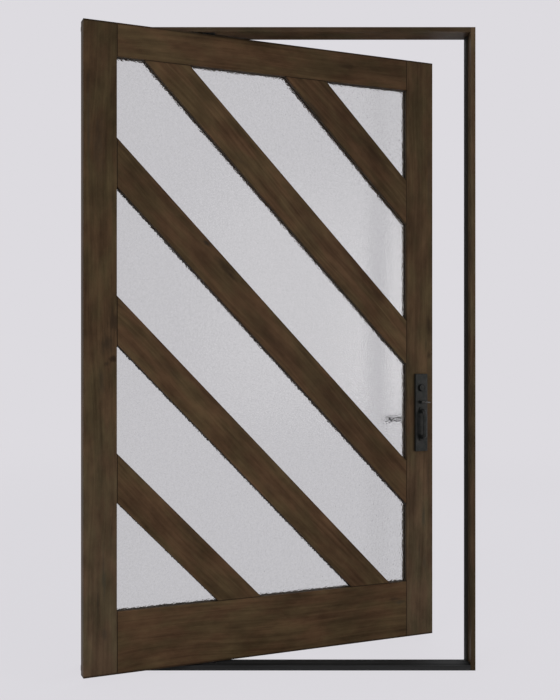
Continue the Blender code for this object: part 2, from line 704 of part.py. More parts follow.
def build_thumbpiece(leaf):
    """A crowned paddle on a hub that turns on the pin between the ears"""
    pivot = new_pivot("thumb_pivot", (PLATE_X, PLATE_FACE - THUMB_HUB_STANDOFF, THUMB_Z), leaf)
    rows = 10
    columns = 6
    shape = bmesh.new()
    grid = []
    for row in range(rows + 1):
        along = row / rows
        spread = min(1.0, max(0.0, (along - 0.2) / 0.4))
        widen = spread * spread * (3 - 2 * spread)
        rounding = math.sqrt(max(0.0, 1 - max(0.0, (along - 0.8) / 0.2) ** 2)) * 0.55 + 0.45
        half = (THUMB_NECK_WIDTH + (THUMB_WIDTH - THUMB_NECK_WIDTH) * widen) / 2 * rounding
        rise = THUMB_CROWN * math.sin(math.pi * along) - THUMB_DROOP * along ** 2
        line = []
        for column in range(columns + 1):
            share = 2 * column / columns - 1
            line.append(shape.verts.new((half * share, -THUMB_LENGTH * along, rise)))
        grid.append(line)
    for first, second in zip(grid, grid[1:]):
        for column in range(columns):
            shape.faces.new((first[column], first[column + 1], second[column + 1], second[column]))
    paddle = mesh_object("thumbpiece", shape, BLACK_METAL, pivot)
    solid = paddle.modifiers.new("thickness", "SOLIDIFY")
    solid.thickness = THUMB_THICKNESS
    solid.offset = 0.0
    half_hub = THUMB_NECK_WIDTH / 2
    hub = cylinder("thumb_hub_blank", THUMB_HUB_RADIUS, (-half_hub, 0.0, 0.0), (half_hub, 0.0, 0.0),
                   None, pivot)
    hole = cylinder("thumb_hub_hole", THUMB_PIN_RADIUS + BORE_CLEARANCE,
                    (-half_hub - OVERRUN, 0.0, 0.0), (half_hub + OVERRUN, 0.0, 0.0), None, pivot)
    fuse(paddle, hub)
    cut(paddle, hole)
    smooth(paddle)


def build_inside_handle(leaf):
    plate = box("inside_plate", (PLATE_X - PLATE_WIDTH / 2, LEAF_BACK + TOUCH, PLATE_LOW),
                (PLATE_X + PLATE_WIDTH / 2, INSIDE_PLATE_FACE, PLATE_HIGH), BLACK_METAL, leaf)
    ease(plate, PLATE_EDGE, 2)
    collar = cylinder("collar_blank", COLLAR_RADIUS,
                      (PLATE_X, INSIDE_PLATE_FACE - PLATE_THICKNESS / 2, LATCH_Z),
                      (PLATE_X, INSIDE_PLATE_FACE + COLLAR_THICKNESS, LATCH_Z), None, leaf)
    fuse(plate, collar)
    smooth(plate)
    build_thumb_turn(leaf)
    build_lever(leaf)


def build_thumb_turn(leaf):
    height = DEADBOLT_Z
    rim = 0.0015
    profile = [(0.0, TURN_HUB_LENGTH), (TURN_HUB_RADIUS - rim, TURN_HUB_LENGTH),
               (TURN_HUB_RADIUS, TURN_HUB_LENGTH - rim), (TURN_HUB_RADIUS, 0.0), (0.0, 0.0)]
    inwards = Matrix.Rotation(-math.pi / 2, 4, "X")
    place = Matrix.Translation((PLATE_X, INSIDE_PLATE_FACE + TOUCH, height)) @ inwards
    turn = turned("thumb_turn", profile, place, BLACK_METAL, leaf)
    start = INSIDE_PLATE_FACE + TURN_HUB_LENGTH / 2
    blade = box("turn_blade_blank",
                (PLATE_X - TURN_BLADE_THICKNESS / 2, start, height - TURN_BLADE_LENGTH / 2),
                (PLATE_X + TURN_BLADE_THICKNESS / 2, INSIDE_PLATE_FACE + TURN_HUB_LENGTH + TURN_BLADE_HEIGHT,
                 height + TURN_BLADE_LENGTH / 2), None, leaf)
    ease(blade, rim)
    fuse(turn, blade)


def build_lever(leaf):
    """A neck on the spindle's axis and an arm that points away from the leaf's edge"""
    face = INSIDE_PLATE_FACE + COLLAR_THICKNESS + TOUCH
    spindle = new_pivot("lever_spindle", (PLATE_X, face, LATCH_Z), leaf)
    out = LEVER_PROJECTION - COLLAR_THICKNESS
    bend = 0.014
    corner = quarter((-bend, out - bend), bend, 0.0, math.pi / 2)
    path = [(0.0, out * 0.3, 0.0)]
    path += [(x, y, 0.0) for x, y in corner]
    droop = 0.006
    steps = 6
    for index in range(1, steps + 1):
        along = index / steps
        path.append((-bend - (LEVER_LENGTH - bend) * along, out - droop * along ** 2, 0.0))
    lever = swept("inside_lever", path, LEVER_THICKNESS, LEVER_WIDTH, "Z", BLACK_METAL, spindle)
    neck = cylinder("lever_neck_blank", LEVER_NECK_RADIUS, (0.0, 0.0, 0.0), (0.0, out * 0.62, 0.0),
                    None, spindle)
    fuse(lever, neck)


def main():
    leaf = new_pivot("leaf_pivot", (PIVOT_X, 0.0, 0.0), turn=OPEN_ANGLE)
    build_frame()
    build_fixed_pivots()
    build_leaf_pivots(leaf)
    build_woodwork(leaf)
    build_lock(leaf)
    build_outside_handle(leaf)
    build_thumbpiece(leaf)
    build_inside_handle(leaf)


main()
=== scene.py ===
"""Looks of the pivot entry door: stained knotty wood, obscure glass, black metalwork and a studio.

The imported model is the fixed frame. Its nodes get procedural finishes here, and the small
things that the solids leave out, such as screws and glazing seals, are built around it.
"""

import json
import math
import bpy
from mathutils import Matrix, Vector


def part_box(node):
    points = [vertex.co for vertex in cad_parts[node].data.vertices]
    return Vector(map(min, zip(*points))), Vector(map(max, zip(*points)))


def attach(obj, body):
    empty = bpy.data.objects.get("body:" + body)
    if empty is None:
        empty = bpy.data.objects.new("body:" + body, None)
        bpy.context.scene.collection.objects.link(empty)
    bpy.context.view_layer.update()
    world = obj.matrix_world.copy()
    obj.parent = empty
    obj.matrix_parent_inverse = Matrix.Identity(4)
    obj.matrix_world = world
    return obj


bl_info = {
    "name": "Pivot Entry Door",
    "version": (1, 0, 0),
    "blender": (4, 5, 0),
    "location": "3D View > Sidebar > Pivot Door",
    "description": "Finishes and small details for a wide pivot door with diagonal bars",
    "category": "Object",
}

import bmesh
import bpy
from bpy.props import FloatProperty, FloatVectorProperty, PointerProperty
from mathutils import Euler, Matrix, Vector

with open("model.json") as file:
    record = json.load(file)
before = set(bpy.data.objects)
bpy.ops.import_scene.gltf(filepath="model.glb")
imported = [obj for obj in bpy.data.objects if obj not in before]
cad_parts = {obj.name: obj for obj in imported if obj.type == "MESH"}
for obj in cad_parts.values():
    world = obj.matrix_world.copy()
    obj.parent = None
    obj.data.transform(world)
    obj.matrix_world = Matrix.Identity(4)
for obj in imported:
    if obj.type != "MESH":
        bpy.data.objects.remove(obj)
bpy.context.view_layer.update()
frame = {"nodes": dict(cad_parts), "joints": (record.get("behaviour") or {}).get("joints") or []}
NODES = frame["nodes"]

LEAF_JOINT = next(joint for joint in frame["joints"] if joint["name"] == "leaf_pivot")
PIVOT = Vector(LEAF_JOINT["pos_m"])
OPEN_ANGLE = -math.radians(LEAF_JOINT["range_deg"][0])
BAR_ANGLE = math.radians(45.55)
LEAF_TURN = Matrix.Rotation(OPEN_ANGLE, 4, "Z")
LEAF_PLACE = Matrix.Translation(PIVOT) @ LEAF_TURN


def leaf_points(name):
    """A node's points in the leaf's own axes"""
    to_leaf = LEAF_PLACE.inverted() @ NODES[name].matrix_world
    return [to_leaf @ vertex.co for vertex in NODES[name].data.vertices]


def leaf_box(name):
    """Lowest and highest corners of a node in the leaf's own axes"""
    points = leaf_points(name)
    return tuple(Vector(pick(point[axis] for point in points) for axis in range(3))
                 for pick in (min, max))


def leaf_middle(name):
    low, high = leaf_box(name)
    return (low + high) / 2


# Directions of the grain, as (across, along) in the plane of the door
UPRIGHT = (Vector((1, 0, 0)), Vector((0, 0, 1)))
LEVEL = (Vector((0, 0, 1)), Vector((1, 0, 0)))
SLANTED = (Vector((math.sin(BAR_ANGLE), 0, math.cos(BAR_ANGLE))),
           Vector((math.cos(BAR_ANGLE), 0, -math.sin(BAR_ANGLE))))

# Boards: (whether it is on the leaf, grain, tone, change of tone per metre along the grain, a painted
# gradient of light and shade)
WOOD_MEMBERS = {
    "right_jamb": (False, UPRIGHT, -0.44, 0.21),
    "left_jamb": (False, UPRIGHT, 0.0, 0.0),
    "head_jamb": (False, LEVEL, -0.22, -0.19),
    "pivot_stile": (True, UPRIGHT, 0.15, -0.15),
    "lock_stile": (True, UPRIGHT, 0.01, -0.10),
    "top_rail": (True, LEVEL, 0.01, -0.09),
    "bottom_rail": (True, LEVEL, 0.09, -0.08),
    "diagonal_bar_1": (True, SLANTED, 0.03, 0.0),
    "diagonal_bar_2": (True, SLANTED, 0.06, 0.0),
    "diagonal_bar_3": (True, SLANTED, -0.09, 0.0),
    "diagonal_bar_4": (True, SLANTED, 0.04, 0.0),
    "diagonal_bar_5": (True, SLANTED, -0.08, 0.0),
}

# Faces inside the frame get painted light, a paler tone: (place across the grain where they end, added
# tone)
INNER_ROUNDING = 0.0007
LIT_INNER_FACES = {
    "right_jamb": (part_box("right_jamb")[0].x + INNER_ROUNDING, 0.42),
    "head_jamb": (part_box("head_jamb")[0].z + INNER_ROUNDING, 0.28),
}
PANE_COUNT = 6

# Dark marks in the boards: (across, along, half width, half length, strength, greyness),
# with across and along measured as above from the pivot's foot
MARKS = {
    "pivot_stile": ((-0.352, 1.345, 0.024, 0.070, 0.72, 0.15), (-0.376, 1.262, 0.026, 0.052, 0.62, 0.3),
                    (-0.352, 1.205, 0.018, 0.015, 0.80, 0.0), (-0.374, 1.186, 0.014, 0.012, 0.60, 0.2),
                    (-0.394, 1.115, 0.015, 0.070, 0.45, 0.5), (-0.386, 0.400, 0.009, 0.100, 0.55, 1.0),
                    (-0.408, 0.300, 0.004, 0.050, 0.50, 0.5), (-0.383, 0.177, 0.014, 0.030, 0.35, 1.0),
                    (-0.405, 2.000, 0.026, 0.130, 0.30, 0.6), (-0.443, 2.050, 0.007, 0.240, 0.35, 1.0),
                    (-0.400, 0.840, 0.016, 0.100, 0.25, 0.3)),
    "lock_stile": ((1.014, 1.335, 0.015, 0.055, 0.62, 0.0), (0.998, 1.265, 0.008, 0.050, 0.35, 0.2),
                   (1.014, 1.215, 0.014, 0.020, 0.62, 0.0), (1.009, 0.700, 0.007, 0.090, 0.30, 0.4),
                   (0.988, 0.520, 0.009, 0.070, 0.50, 1.0), (0.966, 0.385, 0.004, 0.040, 0.40, 0.6),
                   (0.990, 0.330, 0.009, 0.030, 0.32, 1.0), (1.012, 1.950, 0.008, 0.180, 0.30, 0.9)),
    "top_rail": ((2.404, 0.627, 0.016, 0.045, 0.45, 0.0), (2.390, 0.300, 0.012, 0.060, 0.22, 0.0)),
    "bottom_rail": ((0.190, 0.845, 0.010, 0.042, 0.65, 0.2), (0.172, 0.870, 0.012, 0.026, 0.40, 1.0),
                    (0.190, 0.640, 0.006, 0.130, 0.32, 0.0), (0.135, 0.300, 0.005, 0.130, 0.25, 0.0),
                    (0.150, -0.200, 0.006, 0.110, 0.25, 0.0)),
    "diagonal_bar_1": ((0.340, -0.420, 0.018, 0.070, 0.25, 0.3),),
    "diagonal_bar_2": ((0.720, -0.900, 0.014, 0.060, 0.28, 0.2), (0.680, -0.300, 0.014, 0.050, 0.25, 0.4)),
    "diagonal_bar_3": ((1.168, -1.170, 0.012, 0.028, 0.90, 0.3), (1.155, -1.040, 0.020, 0.070, 0.68, 0.1),
                       (1.100, -0.700, 0.018, 0.080, 0.35, 0.0)),
    "diagonal_bar_4": ((1.572, -0.510, 0.016, 0.070, 0.52, 0.0), (1.540, -0.900, 0.014, 0.060, 0.32, 0.2),
                       (1.500, -1.300, 0.014, 0.060, 0.25, 0.3)),
    "diagonal_bar_5": ((1.975, -0.930, 0.034, 0.130, 0.52, 0.0), (1.893, -1.250, 0.012, 0.060, 0.58, 0.5)),
}

# Lines in the leaf's plane where its boards meet or end
DAYLIGHT_SIDES = (leaf_box("pivot_stile")[1].x, leaf_box("lock_stile")[0].x)
DAYLIGHT_ENDS = (leaf_box("bottom_rail")[1].z, leaf_box("top_rail")[0].z)
LEAF_ENDS = tuple(corner.z for corner in leaf_box("lock_stile"))

# Places of the solids that the small pieces sit on or that a finish follows
FITTING_CLEARANCE = 0.0003
REBATE_COVER = DAYLIGHT_SIDES[0] - leaf_box("glass_pane_1")[0].x
GLASS_MIDDLE = leaf_middle("glass_pane_1").y
PLATE_X = leaf_middle("inside_plate").x
INSIDE_PLATE_FACE = leaf_box("thumb_turn")[0].y - FITTING_CLEARANCE
DEADBOLT_HEIGHT = leaf_middle("deadbolt_cylinder").z
CYLINDER_RECESS = 0.0015
CYLINDER_RECESS_FACE = leaf_box("deadbolt_cylinder")[0].y + CYLINDER_RECESS
CYLINDER_SHADE_RIM = 0.0105
LEAF_EDGE = leaf_box("lock_faceplate")[1].x
SILL_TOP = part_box("threshold")[1].z
GROOVE_PLACE = -0.0160
HEAD_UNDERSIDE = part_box("top_pivot_plate")[0].z
SEAL_FRONT = 0.0275

# Screws: parts of the domed head as shares of its radius, or of the dome's rise
DOME_STEPS = 5
DOME_RISE = 0.26
DOME_SHOULDER = 0.28
CROSS_WIDTH = 0.24
CROSS_LENGTH = 1.15
CROSS_DEPTH = 0.8

# Small pieces: each stands off what carries it by the gap
GAP = 0.0002
GLAZING_SEAL_WIDTH = 0.0018
GLAZING_SEAL_RISE = 0.0022
INSIDE_PLATE_SCREWS = (0.829, 0.997, 1.114)
FACEPLATE_SCREWS = (0.901, 1.115)
FLOOR_PIVOT_SCREWS = (-0.050, -0.028, 0.028, 0.050)
HEAD_PIVOT_SCREWS = (-0.045, -0.025, 0.025, 0.045)
KEY_PLUG_RADIUS = 0.0066
KEY_PLUG_RISE = 0.0016
KEY_PLUG_CHAMFER = 0.0004
KEY_PLUG_PALENESS = 1.5
KEYWAY_DEPTH = 0.0018
KEYWAY_SIZE = (0.0016, 0.0080, KEYWAY_DEPTH)
KEYWAY_STEP = (0.0006, 0.0018)
KEYWAY_STEP_SIZE = (0.0020, 0.0012, KEYWAY_DEPTH)

# Colours that the settings leave alone
WHITE = (1.0, 1.0, 1.0, 1.0)
# Near black for painted shade
SHADE_BLACK = (0.004, 0.004, 0.004, 1.0)
MARK_BROWN = Vector((0.018, 0.0105, 0.0060))
MARK_GREY = Vector((0.030, 0.029, 0.0215))
GREENISH_STAIN = (0.965, 1.015, 0.96, 1.0)
REDDISH_STAIN = (1.075, 0.965, 0.97, 1.0)
# Painted shade in the joints and painted shadow at the leaf's ends
JOINT_SHADE = (0.012, 0.008, 0.005, 1.0)
FRAME_CAST = (1.03, 1.08, 1.20, 1.0)
CROSSWISE_CAST = (1.01, 0.955, 0.96, 1.0)
# Painted reflection: a bluish grey on the stiles towards the floor
STILE_FOOT_REFLECTION_TINT = (1.02, 1.08, 1.24, 1.0)
VERDIGRIS = (0.0062, 0.0088, 0.0074, 1.0)
SILL_FLOOR_REFLECTION = (0.0305, 0.0305, 0.0305, 1.0)
RUBBER_PREVIEW = (0.012, 0.0125, 0.012)
RUBBER_SHADES = ((0.0095, 0.0100, 0.0085, 1.0), (0.0160, 0.0165, 0.0140, 1.0))
# Paler rubber, painted light on the seals' front faces
RUBBER_FRONT_LIGHT = (0.0270, 0.0240, 0.0190, 1.0)
SEALANT_PREVIEW = (0.056, 0.048, 0.040)
SEALANT_SHADES = ((0.045, 0.038, 0.031, 1.0), (0.070, 0.060, 0.050, 1.0))

# Noise values between which a cloud goes from its first shade to its second
CLOUD_EDGE = (0.3, 0.7)

# Knots in the stained wood: cells per metre across, through and along, each with one at most
KNOT_CELLS = (4.2, 0.0, 1.3)
KNOT_STRETCH = 0.55
KNOT_RARITY = 0.95
KNOT_RADII = (0.0035, 0.0105)
KNOT_WOBBLE = 70.0
KNOT_CORE_EDGE = (1.35, 0.75)
KNOT_HALO_EDGE = (7.0, 1.0)
KNOT_PULL = -0.62

# Layers of the grain: cells per metre across, through and along, then detail and roughness
STREAKS = ((62.0, 40.0, 1.7), 4.0, 0.62)
RINGS = ((17.0, 12.0, 0.55), 2.0, 0.5)
PORES = ((480.0, 480.0, 16.0), 2.0, 0.6)
BLOTCHES = ((16.0, 9.0, 7.0), 4.0, 0.6)
HUES = ((18.2, 10.4, 5.85), 2.0, 0.5)
DRIFT = ((2.5, 2.5, 1.1), 1.0, 0.5)
RAGGED_EDGES = ((90.0, 30.0, 22.0), 3.0, 0.6)
RING_TURNS = 46.0
DRIFT_REACH = 0.10

# How much each layer moves the stain between dark, at 0, and pale, at 1
STREAK_SHARE = 0.74
RING_SHARE = 0.12
BLOTCH_SHARE = 1.35
PORE_SHARE = 0.38
HALO_SHARE = -0.16

# Edges of the dark marks, of the painted shade in the joints and of the painted shadow at the leaf's ends,
# each from none to all
MARK_RAGGEDNESS = 1.9
MARK_EDGE = (2.15, 1.0)
SEAM_EDGE = (0.0050, 0.0012)
SEAM_STRENGTH = 0.85
LEAF_END_EDGE = (0.010, 0.003)
LEAF_END_STRENGTH = 0.7

# Each board reads the grain further along by this, across and along
BOARD_STEP = (0.37, 1.93)
# The glazing beads take a paler tone, painted light on the reveals round the panes
BEAD_LIGHT_TONE = 0.30
BEAD_SHIFT = (9.0, 0.0, 4.0)
WOOD_SHINE = 0.04

# Heights between which a stile turns greyer with a painted bluish reflection, from none to all
STILE_FOOT_REFLECTION_RANGE = (1.5, 0.1)

# Metal: noise in cells per metre, and edges from none to all
BRONZE_LOOK = {"roughness": 0.46, "metallic": 0.45}
SCREW_METAL = 0.9
BRUSHED = (0.08, 1.0, 1.0)
ROLLED = (0.05, 1.0, 1.0)
METAL_CLOUD = 55.0
METAL_SHEEN_SPREAD = 0.16
METAL_GRIT = 900.0
METAL_GRIT_DEPTH = 0.00006
PATINA_CLOUD = 42.0
PATINA_EDGE = (0.45, 0.65)
# The dark ring of painted shade round the deadbolt's cylinder
RIM_FADE = 0.0015
RIM_SHADE_STRENGTH = 0.55
# Painted shade beside the sill's drip groove, and a painted reflection of the floor on its front
GROOVE_SHADE_EDGE = (0.013, 0.005)
GROOVE_SHADE_STRENGTH = 0.42
SILL_FRONT = GROOVE_PLACE - 0.010
SILL_REFLECTION_EDGE = (0.018, 0.002)

# Obscure glass: how its outer face compares with its patterned inner one, and its cloudiness
OUTER_RIPPLE = 0.13
OUTER_BLUR = 1.7
GLASS_CLOUD = 0.045
GLASS_IOR = 1.45

# Soft lights: name, place, target, width, height, watts, colour, and whether it mirrors in things
WARM = (1.0, 0.98, 0.95)
COOL = (0.95, 0.98, 1.0)
SOFTBOXES = (
    ("left_softbox", (-2.2, -4.2, 3.4), (0.5, 0, 2.1), 2.4, 2.0, 62, WARM, True),
    ("right_softbox", (4.6, -1.8, 1.2), (0, 0, 0.9), 1.6, 1.4, 74, WARM, False),
    ("back_softbox", (1.6, 4.2, 3.2), (0, 0, 1.3), 2.6, 2.2, 50, COOL, True),
    ("window_light", (2.98, -2.37, 1.60), (0.2, 0.2, 1.3), 1.7, 1.8, 10.5, WARM, True),
    ("window_core", (3.54, -1.95, 1.40), (0.42, 0.28, 1.25), 0.80, 1.40, 6.2, WARM, True),
)
SKY_LIGHT = (0.93, 0.96, 1.0, 1.0)

# Floor, which hides its shading more with distance: near, far, share near, share far
FLOOR_SIZE = 60.0
FLOOR_DROP = 0.0005
FLOOR_GLOW = (1.5, 9.0, 0.92, 1.0)

# Camera, in millimetres, in shares of the picture and in metres
SENSOR_WIDTH = 36.0
CAMERA_SHIFT = -0.0032
CAMERA_X = 0.0074


# Settings that a user would change

class StainSettings(bpy.types.PropertyGroup):
    dark: FloatVectorProperty(name="Dark grain", description="Stain colour in the dark grain",
                              default=(0.032, 0.0198, 0.0100), size=3, subtype="COLOR")
    middle: FloatVectorProperty(name="Stain", description="Main stain colour",
                                default=(0.061, 0.0400, 0.0205), size=3, subtype="COLOR")
    light: FloatVectorProperty(name="Light grain", description="Stain colour in the pale grain",
                               default=(0.092, 0.0612, 0.0312), size=3, subtype="COLOR")
    knot: FloatVectorProperty(name="Knots", description="Colour of the knots",
                              default=(0.010, 0.007, 0.005), size=3, subtype="COLOR")
    pore_depth: FloatProperty(name="Pore depth", description="Depth of the grain's relief",
                              default=0.0004, unit="LENGTH")


class GlassSettings(bpy.types.PropertyGroup):
    tint: FloatVectorProperty(name="Tint", description="Colour of the obscure glass",
                              default=(0.742, 0.746, 0.739), size=3, subtype="COLOR")
    ripple: FloatProperty(name="Ripple size", description="Width of one ripple in the glass",
                          default=0.0065, unit="LENGTH")
    ripple_depth: FloatProperty(name="Ripple depth", description="Depth of the ripples",
                                default=0.0022, unit="LENGTH")
    roughness: FloatProperty(name="Roughness", description="How far the glass blurs what is behind it",
                             default=0.06, min=0.0, max=1.0)


class MetalSettings(bpy.types.PropertyGroup):
    black: FloatVectorProperty(name="Black bronze", description="Colour of the handle set",
                               default=(0.0178, 0.0177, 0.0160), size=3, subtype="COLOR")
    # Paler bronze for the thumbpiece: wear, and a painted highlight on its top
    wear_and_highlight: FloatVectorProperty(name="Worn bronze", description="Colour where a thumb has rubbed the black",
                              default=(0.085, 0.081, 0.074), size=3, subtype="COLOR")
    sill: FloatVectorProperty(name="Sill", description="Colour of the threshold",
                              default=(0.024, 0.024, 0.024), size=3, subtype="COLOR")
    pivots: FloatVectorProperty(name="Pivots", description="Colour of the floor and head pivots",
                                default=(0.022, 0.021, 0.020), size=3, subtype="COLOR")
    steel: FloatVectorProperty(name="Bolts", description="Colour of the latch and the deadbolt",
                               default=(0.40, 0.40, 0.41), size=3, subtype="COLOR")
    screw_radius: FloatProperty(name="Screw radius", description="Radius of a screw's head",
                                default=0.0042, unit="LENGTH")


class StageSettings(bpy.types.PropertyGroup):
    background: FloatVectorProperty(name="Background", description="Colour behind the door",
                                    default=(0.723, 0.708, 0.745), size=3, subtype="COLOR")
    lens: FloatProperty(name="Lens", description="Focal length of the camera in millimetres",
                        default=50.195, min=10.0)
    eye_height: FloatProperty(name="Eye height", description="Height of the camera",
                              default=1.246, unit="LENGTH")
    distance: FloatProperty(name="Distance", description="From the camera to the closed leaf",
                            default=3.797, unit="LENGTH")
    soft_light: FloatProperty(name="Soft light", description="Strength of the light all round",
                              default=0.55, min=0.0)


# Material helpers

class Recipe:
    """Adds linked nodes to a material's or a node group's tree"""

    def __init__(self, tree):
        self.tree = tree
        self.count = 0

    def node(self, kind, *inputs, **settings):
        """A new node; each input is a value or another node's output, by position"""
        made = self.tree.nodes.new(kind)
        made.location = (-1400 + 180 * (self.count % 9), 400 - 260 * (self.count // 9))
        self.count += 1
        for setting, value in settings.items():
            setattr(made, setting, value)
        for socket, value in zip(made.inputs, inputs):
            self.feed(socket, value)
        return made

    def feed(self, socket, value):
        if isinstance(value, bpy.types.NodeSocket):
            self.tree.links.new(value, socket)
        elif value is not None:
            socket.default_value = value

    def math(self, operation, *values):
        return self.node("ShaderNodeMath", *values, operation=operation).outputs[0]

    def vector_math(self, operation, *values):
        return self.node("ShaderNodeVectorMath", *values, operation=operation).outputs[0]

    def range(self, value, low, high, out_low=0.0, out_high=1.0, kind="SMOOTHSTEP"):
        made = self.node("ShaderNodeMapRange", value, low, high, out_low, out_high,
                         interpolation_type=kind)
        return made.outputs["Result"]

    def noise(self, vector, scale, detail=2.0, roughness=0.5):
        made = self.node("ShaderNodeTexNoise", vector)
        made.inputs["Scale"].default_value = scale
        made.inputs["Detail"].default_value = detail
        made.inputs["Roughness"].default_value = roughness
        return made.outputs["Fac"]

    def layer(self, vector, cells, detail, roughness):
        """Noise with its own number of cells per metre along each axis"""
        return self.noise(self.vector_math("MULTIPLY", vector, cells), 1.0, detail, roughness)

    def length(self, vector):
        return self.node("ShaderNodeVectorMath", vector, operation="LENGTH").outputs["Value"]

    def scale(self, vector, factor):
        made = self.node("ShaderNodeVectorMath", vector, operation="SCALE")
        self.feed(made.inputs["Scale"], factor)
        return made.outputs[0]

    def split(self, vector):
        """The X, Y and Z of a vector, by name"""
        return self.node("ShaderNodeSeparateXYZ", vector).outputs

    def mix(self, share, first, second, blend="MIX"):
        made = self.node("ShaderNodeMix", data_type="RGBA", blend_type=blend)
        for key, value in (("Factor_Float", share), ("A_Color", first), ("B_Color", second)):
            socket = next(item for item in made.inputs if item.identifier == key)
            self.feed(socket, value)
        return next(item for item in made.outputs if item.identifier == "Result_Color")

    def bump(self, height, distance, strength=1.0):
        made = self.node("ShaderNodeBump")
        made.inputs["Strength"].default_value = strength
        made.inputs["Distance"].default_value = distance
        self.feed(made.inputs["Height"], height)
        return made.outputs["Normal"]


def opaque(colour):
    return (*colour, 1.0)


def new_material(name, preview):
    """A material with only its Principled shader, and a recipe for its tree"""
    material = bpy.data.materials.new(name)
    material.use_nodes = True
    material.diffuse_color = opaque(preview)
    return material, Recipe(material.node_tree), material.node_tree.nodes["Principled BSDF"]


def assign(piece, material):
    piece.data.materials.clear()
    piece.data.materials.append(material)


def place_coordinates(recipe):
    return recipe.node("ShaderNodeTexCoord").outputs["Object"]


# Wood

def knots(recipe, place):
    """The cores and the halos of the knots, from 0 to 1, and the way from the nearest knot"""
    board = recipe.vector_math("MULTIPLY", place, KNOT_CELLS)
    cells = recipe.node("ShaderNodeTexVoronoi", board, voronoi_dimensions="3D")
    cells.inputs["Scale"].default_value = 1.0
    away = recipe.vector_math("SUBTRACT", board, cells.outputs["Position"])
    away = recipe.vector_math("MULTIPLY", away, (1 / KNOT_CELLS[0], 0.0, KNOT_STRETCH / KNOT_CELLS[2]))
    chance = recipe.node("ShaderNodeSeparateColor", cells.outputs["Color"])
    present = recipe.math("GREATER_THAN", chance.outputs[0], KNOT_RARITY)
    radius = recipe.range(chance.outputs[1], 0.0, 1.0, *KNOT_RADII, "LINEAR")
    ratio = recipe.math("DIVIDE", recipe.length(away), radius)
    ratio = recipe.math("MULTIPLY_ADD", recipe.noise(place, KNOT_WOBBLE), 0.5, ratio)
    core = recipe.math("MULTIPLY", recipe.range(ratio, *KNOT_CORE_EDGE), present)
    halo = recipe.math("MULTIPLY", recipe.range(ratio, *KNOT_HALO_EDGE), present)
    return core, halo, away


def bend_round_knots(recipe, place, halo, away):
    """The place where the grain is read, pulled aside by the knots and drifting slowly"""
    aside = recipe.vector_math("MULTIPLY", away, (1.0, 0.0, 0.0))
    aside = recipe.scale(aside, recipe.math("MULTIPLY", halo, KNOT_PULL))
    drift = recipe.math("MULTIPLY", recipe.layer(place, *DRIFT), DRIFT_REACH)
    drift = recipe.node("ShaderNodeCombineXYZ", drift).outputs[0]
    return recipe.vector_math("ADD", recipe.vector_math("ADD", place, aside), drift)


def stain_colour(recipe, stain, level, place):
    """Dark to pale stain, a little greener or redder from place to place"""
    ramp = recipe.node("ShaderNodeValToRGB", level)
    first, last = ramp.color_ramp.elements
    first.position, first.color = 0.05, opaque(stain.dark)
    last.position, last.color = 0.95, opaque(stain.light)
    ramp.color_ramp.elements.new(0.5).color = opaque(stain.middle)
    hue = recipe.range(recipe.layer(place, *HUES), 0.34, 0.66)
    warmth = recipe.mix(hue, GREENISH_STAIN, REDDISH_STAIN)
    return recipe.mix(1.0, ramp.outputs["Color"], warmth, "MULTIPLY")


def wood_grain_group(stain):
    """Stained, knotty grain from a place in the board, given in metres across, through and along"""
    tree = bpy.data.node_groups.new("stained_grain", "ShaderNodeTree")
    for name, kind in (("Place", "NodeSocketVector"), ("Tone", "NodeSocketFloat")):
        tree.interface.new_socket(name, in_out="INPUT", socket_type=kind)
    for name, kind in (("Colour", "NodeSocketColor"), ("Roughness", "NodeSocketFloat"),
                       ("Height", "NodeSocketFloat")):
        tree.interface.new_socket(name, in_out="OUTPUT", socket_type=kind)
    recipe = Recipe(tree)
    given = recipe.node("NodeGroupInput")
    place, tone = given.outputs["Place"], given.outputs["Tone"]

    core, halo, away = knots(recipe, place)
    bent = bend_round_knots(recipe, place, halo, away)
    streak = recipe.layer(bent, *STREAKS)
    ring = recipe.math("SINE", recipe.math("MULTIPLY", recipe.layer(bent, *RINGS), RING_TURNS))
    ring = recipe.range(ring, -1.0, 1.0)
    blotch = recipe.layer(place, *BLOTCHES)
    pore = recipe.layer(bent, *PORES)
    level = recipe.math("MULTIPLY_ADD", halo, HALO_SHARE, 0.5)
    for layer, share in ((streak, STREAK_SHARE), (ring, RING_SHARE),
                         (blotch, BLOTCH_SHARE), (pore, PORE_SHARE)):
        level = recipe.math("MULTIPLY_ADD", recipe.math("SUBTRACT", layer, 0.5), share, level)

    colour = stain_colour(recipe, stain, level, place)
    colour = recipe.scale(colour, recipe.math("ADD", tone, 1.0))
    colour = recipe.mix(core, colour, opaque(stain.knot))
    rough = recipe.math("MULTIPLY_ADD", streak, 0.16, 0.40)
    rough = recipe.math("MULTIPLY_ADD", core, -0.08, rough)
    height = recipe.math("MULTIPLY_ADD", pore, 0.65, recipe.math("MULTIPLY", streak, 0.35))
    height = recipe.math("MULTIPLY_ADD", core, -0.35, height)
    recipe.node("NodeGroupOutput", colour, rough, height)
    return tree


def grain_mapping(recipe, on_leaf, directions, shift):
    """Turn the door's coordinates into (across, through, along) a board"""
    across, along = directions
    through = along.cross(across)
    axes = Matrix((across, through, along))
    origin = Vector((0, 0, 0))
    if on_leaf:
        axes = axes @ LEAF_TURN.to_3x3().transposed()
        origin = PIVOT
    made = recipe.node("ShaderNodeMapping", place_coordinates(recipe))
    made.inputs["Rotation"].default_value = axes.to_euler()
    made.inputs["Location"].default_value = Vector(shift) - axes @ origin
    return made.outputs[0]


